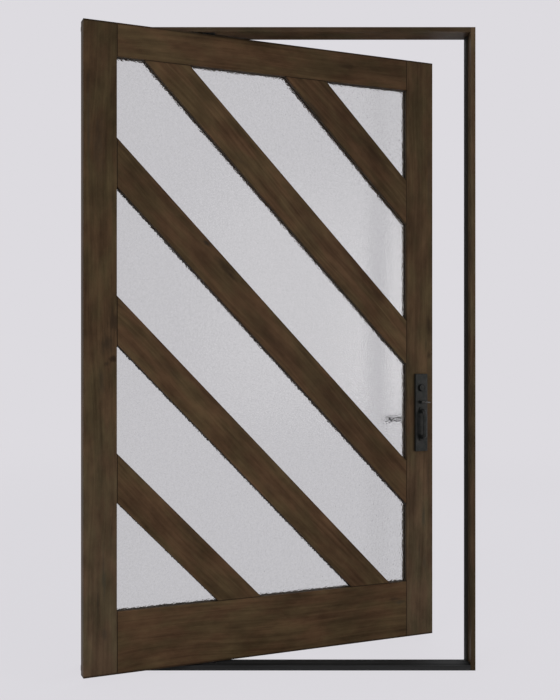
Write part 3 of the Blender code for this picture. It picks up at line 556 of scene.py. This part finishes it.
def add_mark(recipe, colour, place, ragged, mark, shift):
    """Darken the colour in a long, soft-edged patch of the board"""
    across, along, half_width, half_length, strength, greyness = mark
    centre = (across + shift[0], 0.0, along + shift[2])
    away = recipe.vector_math("SUBTRACT", place, centre)
    away = recipe.vector_math("MULTIPLY", away, (1 / half_width, 0.0, 1 / half_length))
    reach = recipe.math("MULTIPLY_ADD", ragged, MARK_RAGGEDNESS, recipe.length(away))
    share = recipe.math("MULTIPLY", recipe.range(reach, *MARK_EDGE), strength)
    return recipe.mix(share, colour, opaque(MARK_BROWN.lerp(MARK_GREY, greyness)))


def nearest(recipe, value, lines):
    """Distance from a value to the nearest of two lines"""
    gaps = [recipe.math("ABSOLUTE", recipe.math("SUBTRACT", value, line)) for line in lines]
    return recipe.math("MINIMUM", *gaps)


def paint_joint_shade(recipe, colour, member):
    """Painted shade where boards meet and painted shadow along the leaf's top and bottom"""
    place = recipe.split(grain_mapping(recipe, True, UPRIGHT, (0, 0, 0)))
    # Painted shadow along the leaf's top and bottom
    ends = recipe.range(nearest(recipe, place["Z"], LEAF_ENDS), *LEAF_END_EDGE)
    share = recipe.math("MULTIPLY", ends, LEAF_END_STRENGTH)
    if not member.endswith("stile"):
        seam = nearest(recipe, place["X"], DAYLIGHT_SIDES)
        if member.startswith("diagonal"):
            seam = recipe.math("MINIMUM", seam, nearest(recipe, place["Z"], DAYLIGHT_ENDS))
        seam = recipe.math("MULTIPLY", recipe.range(seam, *SEAM_EDGE), SEAM_STRENGTH)
        share = recipe.math("MAXIMUM", share, seam)
    return recipe.mix(share, colour, JOINT_SHADE)


def board_cast(recipe, on_leaf, directions):
    """Tint of a board: the frame is greyer, rails and bars redder, stiles greyer towards the floor with a
    painted reflection
    """
    if not on_leaf:
        return FRAME_CAST
    if directions is not UPRIGHT:
        return CROSSWISE_CAST
    height = recipe.split(place_coordinates(recipe))["Z"]
    return recipe.mix(recipe.range(height, *STILE_FOOT_REFLECTION_RANGE), WHITE, STILE_FOOT_REFLECTION_TINT)


def stained_wood(name, grain, stain, on_leaf, directions, tone, shift, light_slope=0.0):
    """Wood of one board, whose tone changes by the slope for each metre along the grain, painting a
    gradient of light and shade
    """
    material, recipe, shader = new_material("wood_" + name, stain.middle)
    look = recipe.node("ShaderNodeGroup", node_tree=grain)
    place = grain_mapping(recipe, on_leaf, directions, shift)
    recipe.feed(look.inputs["Place"], place)
    spot = recipe.split(place)
    # Painted light and shade: the tone rises or falls steadily along the board
    level = recipe.math("MULTIPLY_ADD", spot["Z"], light_slope, tone - light_slope * shift[2])
    # Painted light: the frame's inner faces are made paler
    if name in LIT_INNER_FACES:
        edge, added_light = LIT_INNER_FACES[name]
        inner = recipe.math("LESS_THAN", spot["X"], edge + shift[0])
        level = recipe.math("MULTIPLY_ADD", inner, added_light, level)
    recipe.feed(look.inputs["Tone"], level)
    cast = board_cast(recipe, on_leaf, directions)
    colour = recipe.mix(1.0, look.outputs["Colour"], cast, "MULTIPLY")
    if name in MARKS:
        ragged = recipe.layer(place, *RAGGED_EDGES)
        for mark in MARKS[name]:
            colour = add_mark(recipe, colour, place, ragged, mark, shift)
    if on_leaf and name in WOOD_MEMBERS:
        colour = paint_joint_shade(recipe, colour, name)
    recipe.feed(shader.inputs["Base Color"], colour)
    recipe.feed(shader.inputs["Roughness"], look.outputs["Roughness"])
    recipe.feed(shader.inputs["Normal"], recipe.bump(look.outputs["Height"], stain.pore_depth))
    shader.inputs["Specular IOR Level"].default_value = WOOD_SHINE
    return material


class PIVOTDOOR_OT_stain_wood(bpy.types.Operator):
    """Stain the frame, the stiles, the rails, the bars and the glazing beads"""
    bl_idname = "pivot_door.stain_wood"
    bl_label = "Stain the Wood"

    def execute(self, context):
        stain = context.scene.pivot_door_stain
        grain = wood_grain_group(stain)
        for index, (name, board) in enumerate(WOOD_MEMBERS.items()):
            on_leaf, directions, tone, light_slope = board
            shift = (BOARD_STEP[0] * index, 0.0, BOARD_STEP[1] * index)
            material = stained_wood(name, grain, stain, on_leaf, directions, tone, shift, light_slope)
            assign(NODES[name], material)
        bead = stained_wood("beads", grain, stain, True, UPRIGHT, BEAD_LIGHT_TONE, BEAD_SHIFT)
        for index in range(PANE_COUNT):
            assign(NODES[f"glazing_bead_{index + 1}"], bead)
        return {"FINISHED"}


# Glass

class PIVOTDOOR_OT_glaze(bpy.types.Operator):
    """Give the panes their rippled, obscure glass"""
    bl_idname = "pivot_door.glaze"
    bl_label = "Glaze the Leaf"

    def execute(self, context):
        glass = context.scene.pivot_door_glass
        material, recipe, shader = new_material("obscure_glass", glass.tint)
        place = place_coordinates(recipe)
        warp = recipe.node("ShaderNodeTexNoise", place)
        warp.inputs["Scale"].default_value = 0.6 / glass.ripple
        bent = recipe.scale(warp.outputs["Color"], 0.9 * glass.ripple)
        bent = recipe.vector_math("ADD", place, bent)
        drops = recipe.node("ShaderNodeTexVoronoi", bent, feature="SMOOTH_F1")
        drops.inputs["Scale"].default_value = 1 / glass.ripple
        drops.inputs["Smoothness"].default_value = 0.35
        through = recipe.split(grain_mapping(recipe, True, UPRIGHT, (0, 0, 0)))["Y"]
        inside = recipe.math("GREATER_THAN", through, GLASS_MIDDLE)
        share = recipe.math("MULTIPLY_ADD", inside, 1 - OUTER_RIPPLE, OUTER_RIPPLE)
        height = recipe.math("MULTIPLY", drops.outputs["Distance"], share)
        recipe.feed(shader.inputs["Normal"], recipe.bump(height, glass.ripple_depth))
        cloud = recipe.noise(place, 0.9 / glass.ripple)
        dim = [channel * (1 - GLASS_CLOUD) for channel in glass.tint]
        clear = [channel * (1 + GLASS_CLOUD) for channel in glass.tint]
        shade = recipe.mix(recipe.range(cloud, *CLOUD_EDGE), opaque(dim), opaque(clear))
        recipe.feed(shader.inputs["Base Color"], shade)
        rough = recipe.math("MULTIPLY_ADD", inside, (1 - OUTER_BLUR) * glass.roughness,
                            OUTER_BLUR * glass.roughness)
        recipe.feed(shader.inputs["Roughness"], rough)
        shader.inputs["IOR"].default_value = GLASS_IOR
        shader.inputs["Transmission Weight"].default_value = 1.0
        for index in range(PANE_COUNT):
            assign(NODES[f"glass_pane_{index + 1}"], material)
        return {"FINISHED"}


# Metalwork and seals

def coated_metal(name, colour, roughness, metallic, speck=0.25, grain=None, shine=0.30,
                 patina=0.0, shade_rim=0.0):
    """A coated or cast metal with an uneven sheen; grain stretches it into brushed lines.

    Patina is the share of green-black patches; past the radius given for the rim, round the deadbolt's
    axis, the metal is darkened with painted shade.
    beyond which the metal is darker.
    """
    material, recipe, shader = new_material(name, colour)
    place = place_coordinates(recipe)
    if grain:
        place = recipe.vector_math("MULTIPLY", place, grain)
    cloud = recipe.noise(place, METAL_CLOUD, 3.0, 0.6)
    fine = recipe.noise(place, METAL_GRIT, 2.0, 0.6)
    dim = [channel * (1 - speck) for channel in colour]
    bright = [min(1.0, channel * (1 + speck) + 0.002) for channel in colour]
    shade = recipe.mix(recipe.range(cloud, *CLOUD_EDGE), opaque(dim), opaque(bright))
    if patina:
        patch = recipe.range(recipe.noise(place, PATINA_CLOUD, 2.0, 0.6), *PATINA_EDGE)
        shade = recipe.mix(recipe.math("MULTIPLY", patch, patina), shade, VERDIGRIS)
    # Painted shade: a dark ring round the deadbolt's cylinder
    if shade_rim:
        spot = grain_mapping(recipe, True, UPRIGHT, (-PLATE_X, 0.0, -DEADBOLT_HEIGHT))
        reach = recipe.length(recipe.vector_math("MULTIPLY", spot, (1.0, 0.0, 1.0)))
        edge = recipe.math("MULTIPLY", recipe.range(reach, shade_rim, shade_rim + RIM_FADE), RIM_SHADE_STRENGTH)
        shade = recipe.mix(edge, shade, SHADE_BLACK)
    recipe.feed(shader.inputs["Base Color"], shade)
    rough = recipe.math("MULTIPLY_ADD", cloud, METAL_SHEEN_SPREAD, roughness - METAL_SHEEN_SPREAD / 2)
    recipe.feed(shader.inputs["Roughness"], rough)
    recipe.feed(shader.inputs["Normal"], recipe.bump(fine, METAL_GRIT_DEPTH, 0.7))
    shader.inputs["Metallic"].default_value = metallic
    shader.inputs["Specular IOR Level"].default_value = shine
    return material


def paint_sill_shade_and_reflection(material):
    """Paint shade on the sill beside its drip groove and a painted reflection of the floor on its front
    towards the floor
    """
    recipe = Recipe(material.node_tree)
    shader = material.node_tree.nodes["Principled BSDF"]
    colour = shader.inputs["Base Color"].links[0].from_socket
    place = recipe.split(place_coordinates(recipe))
    # Painted shade beside the drip groove
    gap = recipe.math("ABSOLUTE", recipe.math("SUBTRACT", place["Y"], GROOVE_PLACE))
    share = recipe.math("MULTIPLY", recipe.range(gap, *GROOVE_SHADE_EDGE), GROOVE_SHADE_STRENGTH)
    colour = recipe.mix(share, colour, SHADE_BLACK)
    # Painted reflection: the front pales towards the floor
    front = recipe.math("LESS_THAN", place["Y"], SILL_FRONT)
    low = recipe.math("MULTIPLY", recipe.range(place["Z"], *SILL_REFLECTION_EDGE), front)
    colour = recipe.mix(low, colour, SILL_FLOOR_REFLECTION)
    recipe.feed(shader.inputs["Base Color"], colour)


class PIVOTDOOR_OT_finish_metalwork(bpy.types.Operator):
    """Blacken the handle set and finish the sill, the bolts and the pivots"""
    bl_idname = "pivot_door.finish_metalwork"
    bl_label = "Finish the Metalwork"

    def execute(self, context):
        metal = context.scene.pivot_door_metal
        black = coated_metal("black_bronze", metal.black, **BRONZE_LOOK, patina=0.55)
        for name in ("handle_plate", "pull_grip", "inside_plate",
                     "thumb_turn", "inside_lever", "lock_faceplate"):
            assign(NODES[name], black)
        rim_shaded = coated_metal("bronze_rim_shade", metal.black, **BRONZE_LOOK, patina=0.3, shade_rim=CYLINDER_SHADE_RIM)
        assign(NODES["deadbolt_cylinder"], rim_shaded)
        # Painted highlight and wear: the whole thumbpiece is paler bronze
        wear_and_highlight = coated_metal("bronze_wear_and_highlight", metal.wear_and_highlight, roughness=0.50, metallic=0.25)
        assign(NODES["thumbpiece"], wear_and_highlight)
        sill = coated_metal("black_sill", metal.sill, roughness=0.60, metallic=0.0, speck=0.2,
                            grain=ROLLED, shine=0.03)
        paint_sill_shade_and_reflection(sill)
        assign(NODES["threshold"], sill)
        dark = coated_metal("pivot_dark_steel", metal.pivots, roughness=0.50, metallic=0.4, speck=0.2,
                            grain=BRUSHED, shine=0.1)
        for name in ("floor_pivot_base", "top_pivot_plate", "bottom_pivot_shoe", "top_pivot_block"):
            assign(NODES[name], dark)
        steel = coated_metal("bolt_steel", metal.steel, roughness=0.34, metallic=1.0, speck=0.12,
                             grain=BRUSHED)
        for name in ("latch_bolt", "deadbolt"):
            assign(NODES[name], steel)
        return {"FINISHED"}


class PIVOTDOOR_OT_finish_seals(bpy.types.Operator):
    """Give the weather seals their matt black rubber"""
    bl_idname = "pivot_door.finish_seals"
    bl_label = "Finish the Seals"

    def execute(self, context):
        rubber, recipe, shader = new_material("seal_rubber", RUBBER_PREVIEW)
        place = place_coordinates(recipe)
        cloud = recipe.noise(place, 240.0, 3.0)
        shade = recipe.mix(cloud, *RUBBER_SHADES)
        # Painted light: the seals' front faces are paler than their sides
        lit_front = recipe.math("LESS_THAN", recipe.split(place)["Y"], SEAL_FRONT)
        shade = recipe.mix(lit_front, shade, RUBBER_FRONT_LIGHT)
        recipe.feed(shader.inputs["Base Color"], shade)
        recipe.feed(shader.inputs["Normal"], recipe.bump(cloud, 0.0001, 0.5))
        shader.inputs["Roughness"].default_value = 0.62
        shader.inputs["Specular IOR Level"].default_value = 0.03
        for name in ("strike_side_seal", "pivot_side_seal"):
            assign(NODES[name], rubber)
        return {"FINISHED"}


# Small pieces

def object_from(shape, name):
    mesh = bpy.data.meshes.new(name)
    shape.to_mesh(mesh)
    shape.free()
    item = bpy.data.objects.new(name, mesh)
    bpy.context.scene.collection.objects.link(item)
    return item


def add_piece(name, shape, material, body, on_leaf=True):
    """Turn a bmesh in the leaf's own axes, or in the door's, into a piece of a body"""
    bmesh.ops.recalc_face_normals(shape, faces=shape.faces)
    piece = object_from(shape, name)
    assign(piece, material)
    if on_leaf:
        piece.matrix_world = LEAF_PLACE.copy()
    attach(piece, body)


def pane_outline(index):
    """The corners of a pane's sight line, in order, as (x, z) in the leaf's plane"""
    points = leaf_points(f"glass_pane_{index + 1}")
    front = min(point.y for point in points)
    back = max(point.y for point in points)
    flat = [Vector((point.x, point.z)) for point in points if point.y < front + 0.0001]
    middle = sum(flat, Vector((0, 0))) / len(flat)
    flat.sort(key=lambda point: math.atan2(point.y - middle.y, point.x - middle.x))
    corners = [point for place, point in enumerate(flat) if (point - flat[place - 1]).length > 0.0005]
    return shrink(corners, REBATE_COVER), front, back


def shrink(outline, distance):
    """Move each side of a convex outline inwards, keeping its corners mitred"""
    moved = []
    for index, corner in enumerate(outline):
        before = (corner - outline[index - 1]).normalized()
        after = (outline[(index + 1) % len(outline)] - corner).normalized()
        inward = Vector((-before.y, before.x)) + Vector((-after.y, after.x))
        moved.append(corner + inward * (2 * distance / inward.length_squared))
    return moved


def add_fillet(shape, outline, face, outward):
    """A strip of three-cornered section in the angle between a pane and the wood around it"""
    wall = shrink(outline, GAP)
    toe = shrink(outline, GLAZING_SEAL_WIDTH)
    low = face + outward * GAP
    high = face + outward * GLAZING_SEAL_RISE
    rings = [[shape.verts.new((point.x, level, point.y)) for point in ring]
             for ring, level in ((wall, low), (wall, high), (toe, low))]
    count = len(outline)
    for first, second in zip(rings, rings[1:] + rings[:1]):
        for index in range(count):
            after = (index + 1) % count
            shape.faces.new((first[index], first[after], second[after], second[index]))


class PIVOTDOOR_OT_fit_glazing_seals(bpy.types.Operator):
    """Run a thin dark seal round both faces of every pane"""
    bl_idname = "pivot_door.fit_glazing_seals"
    bl_label = "Fit the Glazing Seals"

    def execute(self, context):
        seal, recipe, shader = new_material("glazing_seal", SEALANT_PREVIEW)
        cloud = recipe.noise(place_coordinates(recipe), 180.0, 3.0)
        recipe.feed(shader.inputs["Base Color"], recipe.mix(cloud, *SEALANT_SHADES))
        recipe.feed(shader.inputs["Normal"], recipe.bump(cloud, 0.0002, 0.5))
        shader.inputs["Roughness"].default_value = 0.55
        shader.inputs["Specular IOR Level"].default_value = 0.12
        for index in range(PANE_COUNT):
            outline, front, back = pane_outline(index)
            shape = bmesh.new()
            add_fillet(shape, outline, front, -1)
            add_fillet(shape, outline, back, 1)
            add_piece(f"glazing_seal_{index + 1}", shape, seal, "leaf")
        return {"FINISHED"}


def lathe(profile, steps=24):
    """Spin (radius, height) points about the Z axis into a closed bmesh"""
    shape = bmesh.new()
    points = [shape.verts.new((radius, 0.0, height)) for radius, height in profile]
    edges = [shape.edges.new(pair) for pair in zip(points, points[1:])]
    bmesh.ops.spin(shape, geom=points + edges, cent=(0, 0, 0), axis=(0, 0, 1), dvec=(0, 0, 0),
                   angle=math.tau, steps=steps, use_merge=True)
    bmesh.ops.remove_doubles(shape, verts=shape.verts, dist=0.00001)
    bmesh.ops.recalc_face_normals(shape, faces=shape.faces)
    return shape


def carve(shape, boxes):
    """Cut boxes, each a (centre, size), out of a closed bmesh"""
    blank = object_from(shape, "blank")
    cutters = []
    for centre, size in boxes:
        solid = bmesh.new()
        place = Matrix.Translation(centre) @ Matrix.Diagonal((*size, 1.0))
        bmesh.ops.create_cube(solid, size=1.0, matrix=place)
        cutters.append(object_from(solid, "cutter"))
        modifier = blank.modifiers.new("slot", "BOOLEAN")
        modifier.operation = "DIFFERENCE"
        modifier.solver = "EXACT"
        modifier.object = cutters[-1]
    bpy.context.view_layer.update()
    result = bmesh.new()
    result.from_object(blank, bpy.context.evaluated_depsgraph_get())
    for item in (blank, *cutters):
        mesh = item.data
        bpy.data.objects.remove(item, do_unlink=True)
        bpy.data.meshes.remove(mesh)
    return result


def screw_head(radius):
    """A low domed head with a cross recess, standing on the XY plane"""
    rise = radius * DOME_RISE
    profile = [(0.0, rise)]
    for step in range(1, DOME_STEPS + 1):
        angle = math.pi / 2 * step / DOME_STEPS
        height = rise * (DOME_SHOULDER + (1 - DOME_SHOULDER) * math.cos(angle))
        profile.append((radius * math.sin(angle), height))
    profile += [(radius, GAP), (0.0, GAP)]
    slot, length, depth = radius * CROSS_WIDTH, radius * CROSS_LENGTH, rise * CROSS_DEPTH
    sizes = ((length, slot, depth), (slot, length, depth))
    return carve(lathe(profile), [(Vector((0, 0, rise)), size) for size in sizes])


def scatter(shape, places):
    """One bmesh with a copy of a shape at each place"""
    mesh = bpy.data.meshes.new("copy")
    shape.to_mesh(mesh)
    shape.free()
    together = bmesh.new()
    for place in places:
        known = set(together.verts)
        together.from_mesh(mesh)
        fresh = [vertex for vertex in together.verts if vertex not in known]
        bmesh.ops.transform(together, matrix=place, verts=fresh)
    bpy.data.meshes.remove(mesh)
    return together


def facing(direction, point, turn):
    """Stand a shape's Z axis along a direction at a point"""
    aim = Vector(direction).to_track_quat("Z", "Y").to_matrix().to_4x4()
    return Matrix.Translation(point) @ aim @ Matrix.Rotation(turn, 4, "Z")


class PIVOTDOOR_OT_drive_screws(bpy.types.Operator):
    """Fix the inside plate, the faceplate and the pivots with domed screws"""
    bl_idname = "pivot_door.drive_screws"
    bl_label = "Drive the Screws"

    def execute(self, context):
        metal = context.scene.pivot_door_metal
        radius = metal.screw_radius
        finish = coated_metal("screw_black", metal.black, roughness=0.34, metallic=SCREW_METAL)
        plate = [facing((0, 1, 0), (PLATE_X, INSIDE_PLATE_FACE, height), 0.4 + height)
                 for height in INSIDE_PLATE_SCREWS]
        add_piece("inside_plate_screws", scatter(screw_head(radius), plate), finish,
                  "leaf")
        edge = [facing((1, 0, 0), (LEAF_EDGE, 0.0, height), height) for height in FACEPLATE_SCREWS]
        add_piece("faceplate_screws", scatter(screw_head(radius), edge), finish,
                  "leaf")
        dark = coated_metal("screw_steel", metal.pivots, roughness=0.40, metallic=SCREW_METAL)
        floor = [facing((0, 0, 1), (PIVOT.x + side, 0.0, SILL_TOP), side * 30)
                 for side in FLOOR_PIVOT_SCREWS]
        add_piece("floor_pivot_screws", scatter(screw_head(radius), floor), dark,
                  "frame", False)
        head = [facing((0, 0, -1), (PIVOT.x + side, 0.0, HEAD_UNDERSIDE), side * 30)
                for side in HEAD_PIVOT_SCREWS]
        add_piece("top_pivot_screws", scatter(screw_head(radius), head), dark,
                  "frame", False)
        return {"FINISHED"}


class PIVOTDOOR_OT_fit_key_plug(bpy.types.Operator):
    """Set the key plug with its keyway in the deadbolt's cylinder"""
    bl_idname = "pivot_door.fit_key_plug"
    bl_label = "Fit the Key Plug"

    def execute(self, context):
        metal = context.scene.pivot_door_metal
        paler = [channel * KEY_PLUG_PALENESS for channel in metal.black]
        finish = coated_metal("key_plug_metal", paler, **BRONZE_LOOK)
        shoulder = KEY_PLUG_RISE - KEY_PLUG_CHAMFER
        profile = [(0.0, KEY_PLUG_RISE), (KEY_PLUG_RADIUS - KEY_PLUG_CHAMFER, KEY_PLUG_RISE),
                   (KEY_PLUG_RADIUS, shoulder), (KEY_PLUG_RADIUS, GAP), (0.0, GAP)]
        slots = [(Vector((0, 0, shoulder)), KEYWAY_SIZE),
                 (Vector((*KEYWAY_STEP, shoulder)), KEYWAY_STEP_SIZE)]
        place = facing((0, -1, 0), (PLATE_X, CYLINDER_RECESS_FACE, DEADBOLT_HEIGHT), 0.0)
        plug = scatter(carve(lathe(profile), slots), [place])
        add_piece("key_plug", plug, finish, "leaf")
        return {"FINISHED"}


# Stage

def add_softbox(name, place, target, width, height, power, colour, mirrored):
    lamp = bpy.data.lights.new(name, "AREA")
    lamp.shape = "RECTANGLE"
    lamp.size = width
    lamp.size_y = height
    lamp.energy = power
    lamp.color = colour
    softbox = bpy.data.objects.new(name, lamp)
    softbox.location = place
    softbox.visible_camera = False
    softbox.visible_transmission = False
    softbox.visible_glossy = mirrored
    aim = Vector(target) - Vector(place)
    softbox.rotation_euler = aim.to_track_quat("-Z", "Y").to_euler()
    bpy.context.scene.collection.objects.link(softbox)


def seen_directly(recipe):
    """1 for the rays on which the pale background has to show"""
    path = recipe.node("ShaderNodeLightPath")
    seen = recipe.math("MAXIMUM", path.outputs["Is Camera Ray"], path.outputs["Is Glossy Ray"])
    return recipe.math("MAXIMUM", seen, path.outputs["Is Transmission Ray"])


def build_world(stage):
    world = bpy.data.worlds.new("studio")
    world.use_nodes = True
    tree = world.node_tree
    tree.nodes.clear()
    recipe = Recipe(tree)
    seen = seen_directly(recipe)
    backdrop = recipe.node("ShaderNodeBackground", opaque(stage.background), 1.0)
    light = recipe.node("ShaderNodeBackground", SKY_LIGHT, stage.soft_light)
    both = recipe.node("ShaderNodeMixShader", seen, light.outputs[0], backdrop.outputs[0])
    recipe.node("ShaderNodeOutputWorld", both.outputs[0])
    bpy.context.scene.world = world


def build_floor(stage):
    shape = bmesh.new()
    bmesh.ops.create_grid(shape, x_segments=2, y_segments=2, size=FLOOR_SIZE)
    floor = object_from(shape, "studio_floor")
    floor.location.z = -FLOOR_DROP
    material = bpy.data.materials.new("pale_floor")
    material.use_nodes = True
    tree = material.node_tree
    tree.nodes.clear()
    recipe = Recipe(tree)
    matt = recipe.node("ShaderNodeBsdfDiffuse", opaque(stage.background))
    glow = recipe.node("ShaderNodeEmission", opaque(stage.background), 1.0)
    glow_share = recipe.range(recipe.length(place_coordinates(recipe)), *FLOOR_GLOW)
    share = recipe.math("MULTIPLY", seen_directly(recipe), glow_share)
    both = recipe.node("ShaderNodeMixShader", share, matt.outputs[0], glow.outputs[0])
    recipe.node("ShaderNodeOutputMaterial", both.outputs[0])
    assign(floor, material)


class PIVOTDOOR_OT_set_stage(bpy.types.Operator):
    """Place the floor, the background, the soft lights and the camera"""
    bl_idname = "pivot_door.set_stage"
    bl_label = "Set the Stage"

    def execute(self, context):
        stage = context.scene.pivot_door_stage
        build_world(stage)
        build_floor(stage)
        for softbox in SOFTBOXES:
            add_softbox(*softbox)
        camera = bpy.data.cameras.new("camera")
        camera.lens = stage.lens
        camera.sensor_width = SENSOR_WIDTH
        camera.shift_y = CAMERA_SHIFT
        holder = bpy.data.objects.new("camera", camera)
        holder.location = (CAMERA_X, -stage.distance, stage.eye_height)
        holder.rotation_euler = Euler((math.pi / 2, 0, 0))
        context.scene.collection.objects.link(holder)
        context.scene.camera = holder
        context.scene.view_settings.view_transform = "Standard"
        return {"FINISHED"}


SETTINGS = {
    "pivot_door_stain": StainSettings,
    "pivot_door_glass": GlassSettings,
    "pivot_door_metal": MetalSettings,
    "pivot_door_stage": StageSettings,
}
STEPS = (
    PIVOTDOOR_OT_stain_wood,
    PIVOTDOOR_OT_glaze,
    PIVOTDOOR_OT_finish_metalwork,
    PIVOTDOOR_OT_finish_seals,
    PIVOTDOOR_OT_fit_glazing_seals,
    PIVOTDOOR_OT_drive_screws,
    PIVOTDOOR_OT_fit_key_plug,
    PIVOTDOOR_OT_set_stage,
)


class PIVOTDOOR_PT_panel(bpy.types.Panel):
    """Lists the door's pieces and their settings"""
    bl_idname = "PIVOTDOOR_PT_panel"
    bl_label = "Pivot Entry Door"
    bl_space_type = "VIEW_3D"
    bl_region_type = "UI"
    bl_category = "Pivot Door"

    def draw(self, context):
        for step in STEPS:
            self.layout.operator(step.bl_idname)
        for name, group in SETTINGS.items():
            box = self.layout.box()
            for field in group.__annotations__:
                box.prop(getattr(context.scene, name), field)


CLASSES = (*SETTINGS.values(), *STEPS, PIVOTDOOR_PT_panel)


def register():
    for cls in CLASSES:
        bpy.utils.register_class(cls)
    for name, group in SETTINGS.items():
        setattr(bpy.types.Scene, name, PointerProperty(type=group))


def unregister():
    for name in SETTINGS:
        delattr(bpy.types.Scene, name)
    for cls in reversed(CLASSES):
        bpy.utils.unregister_class(cls)


def main():
    register()
    bpy.ops.pivot_door.stain_wood()
    bpy.ops.pivot_door.glaze()
    bpy.ops.pivot_door.finish_metalwork()
    bpy.ops.pivot_door.finish_seals()
    bpy.ops.pivot_door.fit_glazing_seals()
    bpy.ops.pivot_door.drive_screws()
    bpy.ops.pivot_door.fit_key_plug()
    bpy.ops.pivot_door.set_stage()


if __name__ == "__main__":
    main()
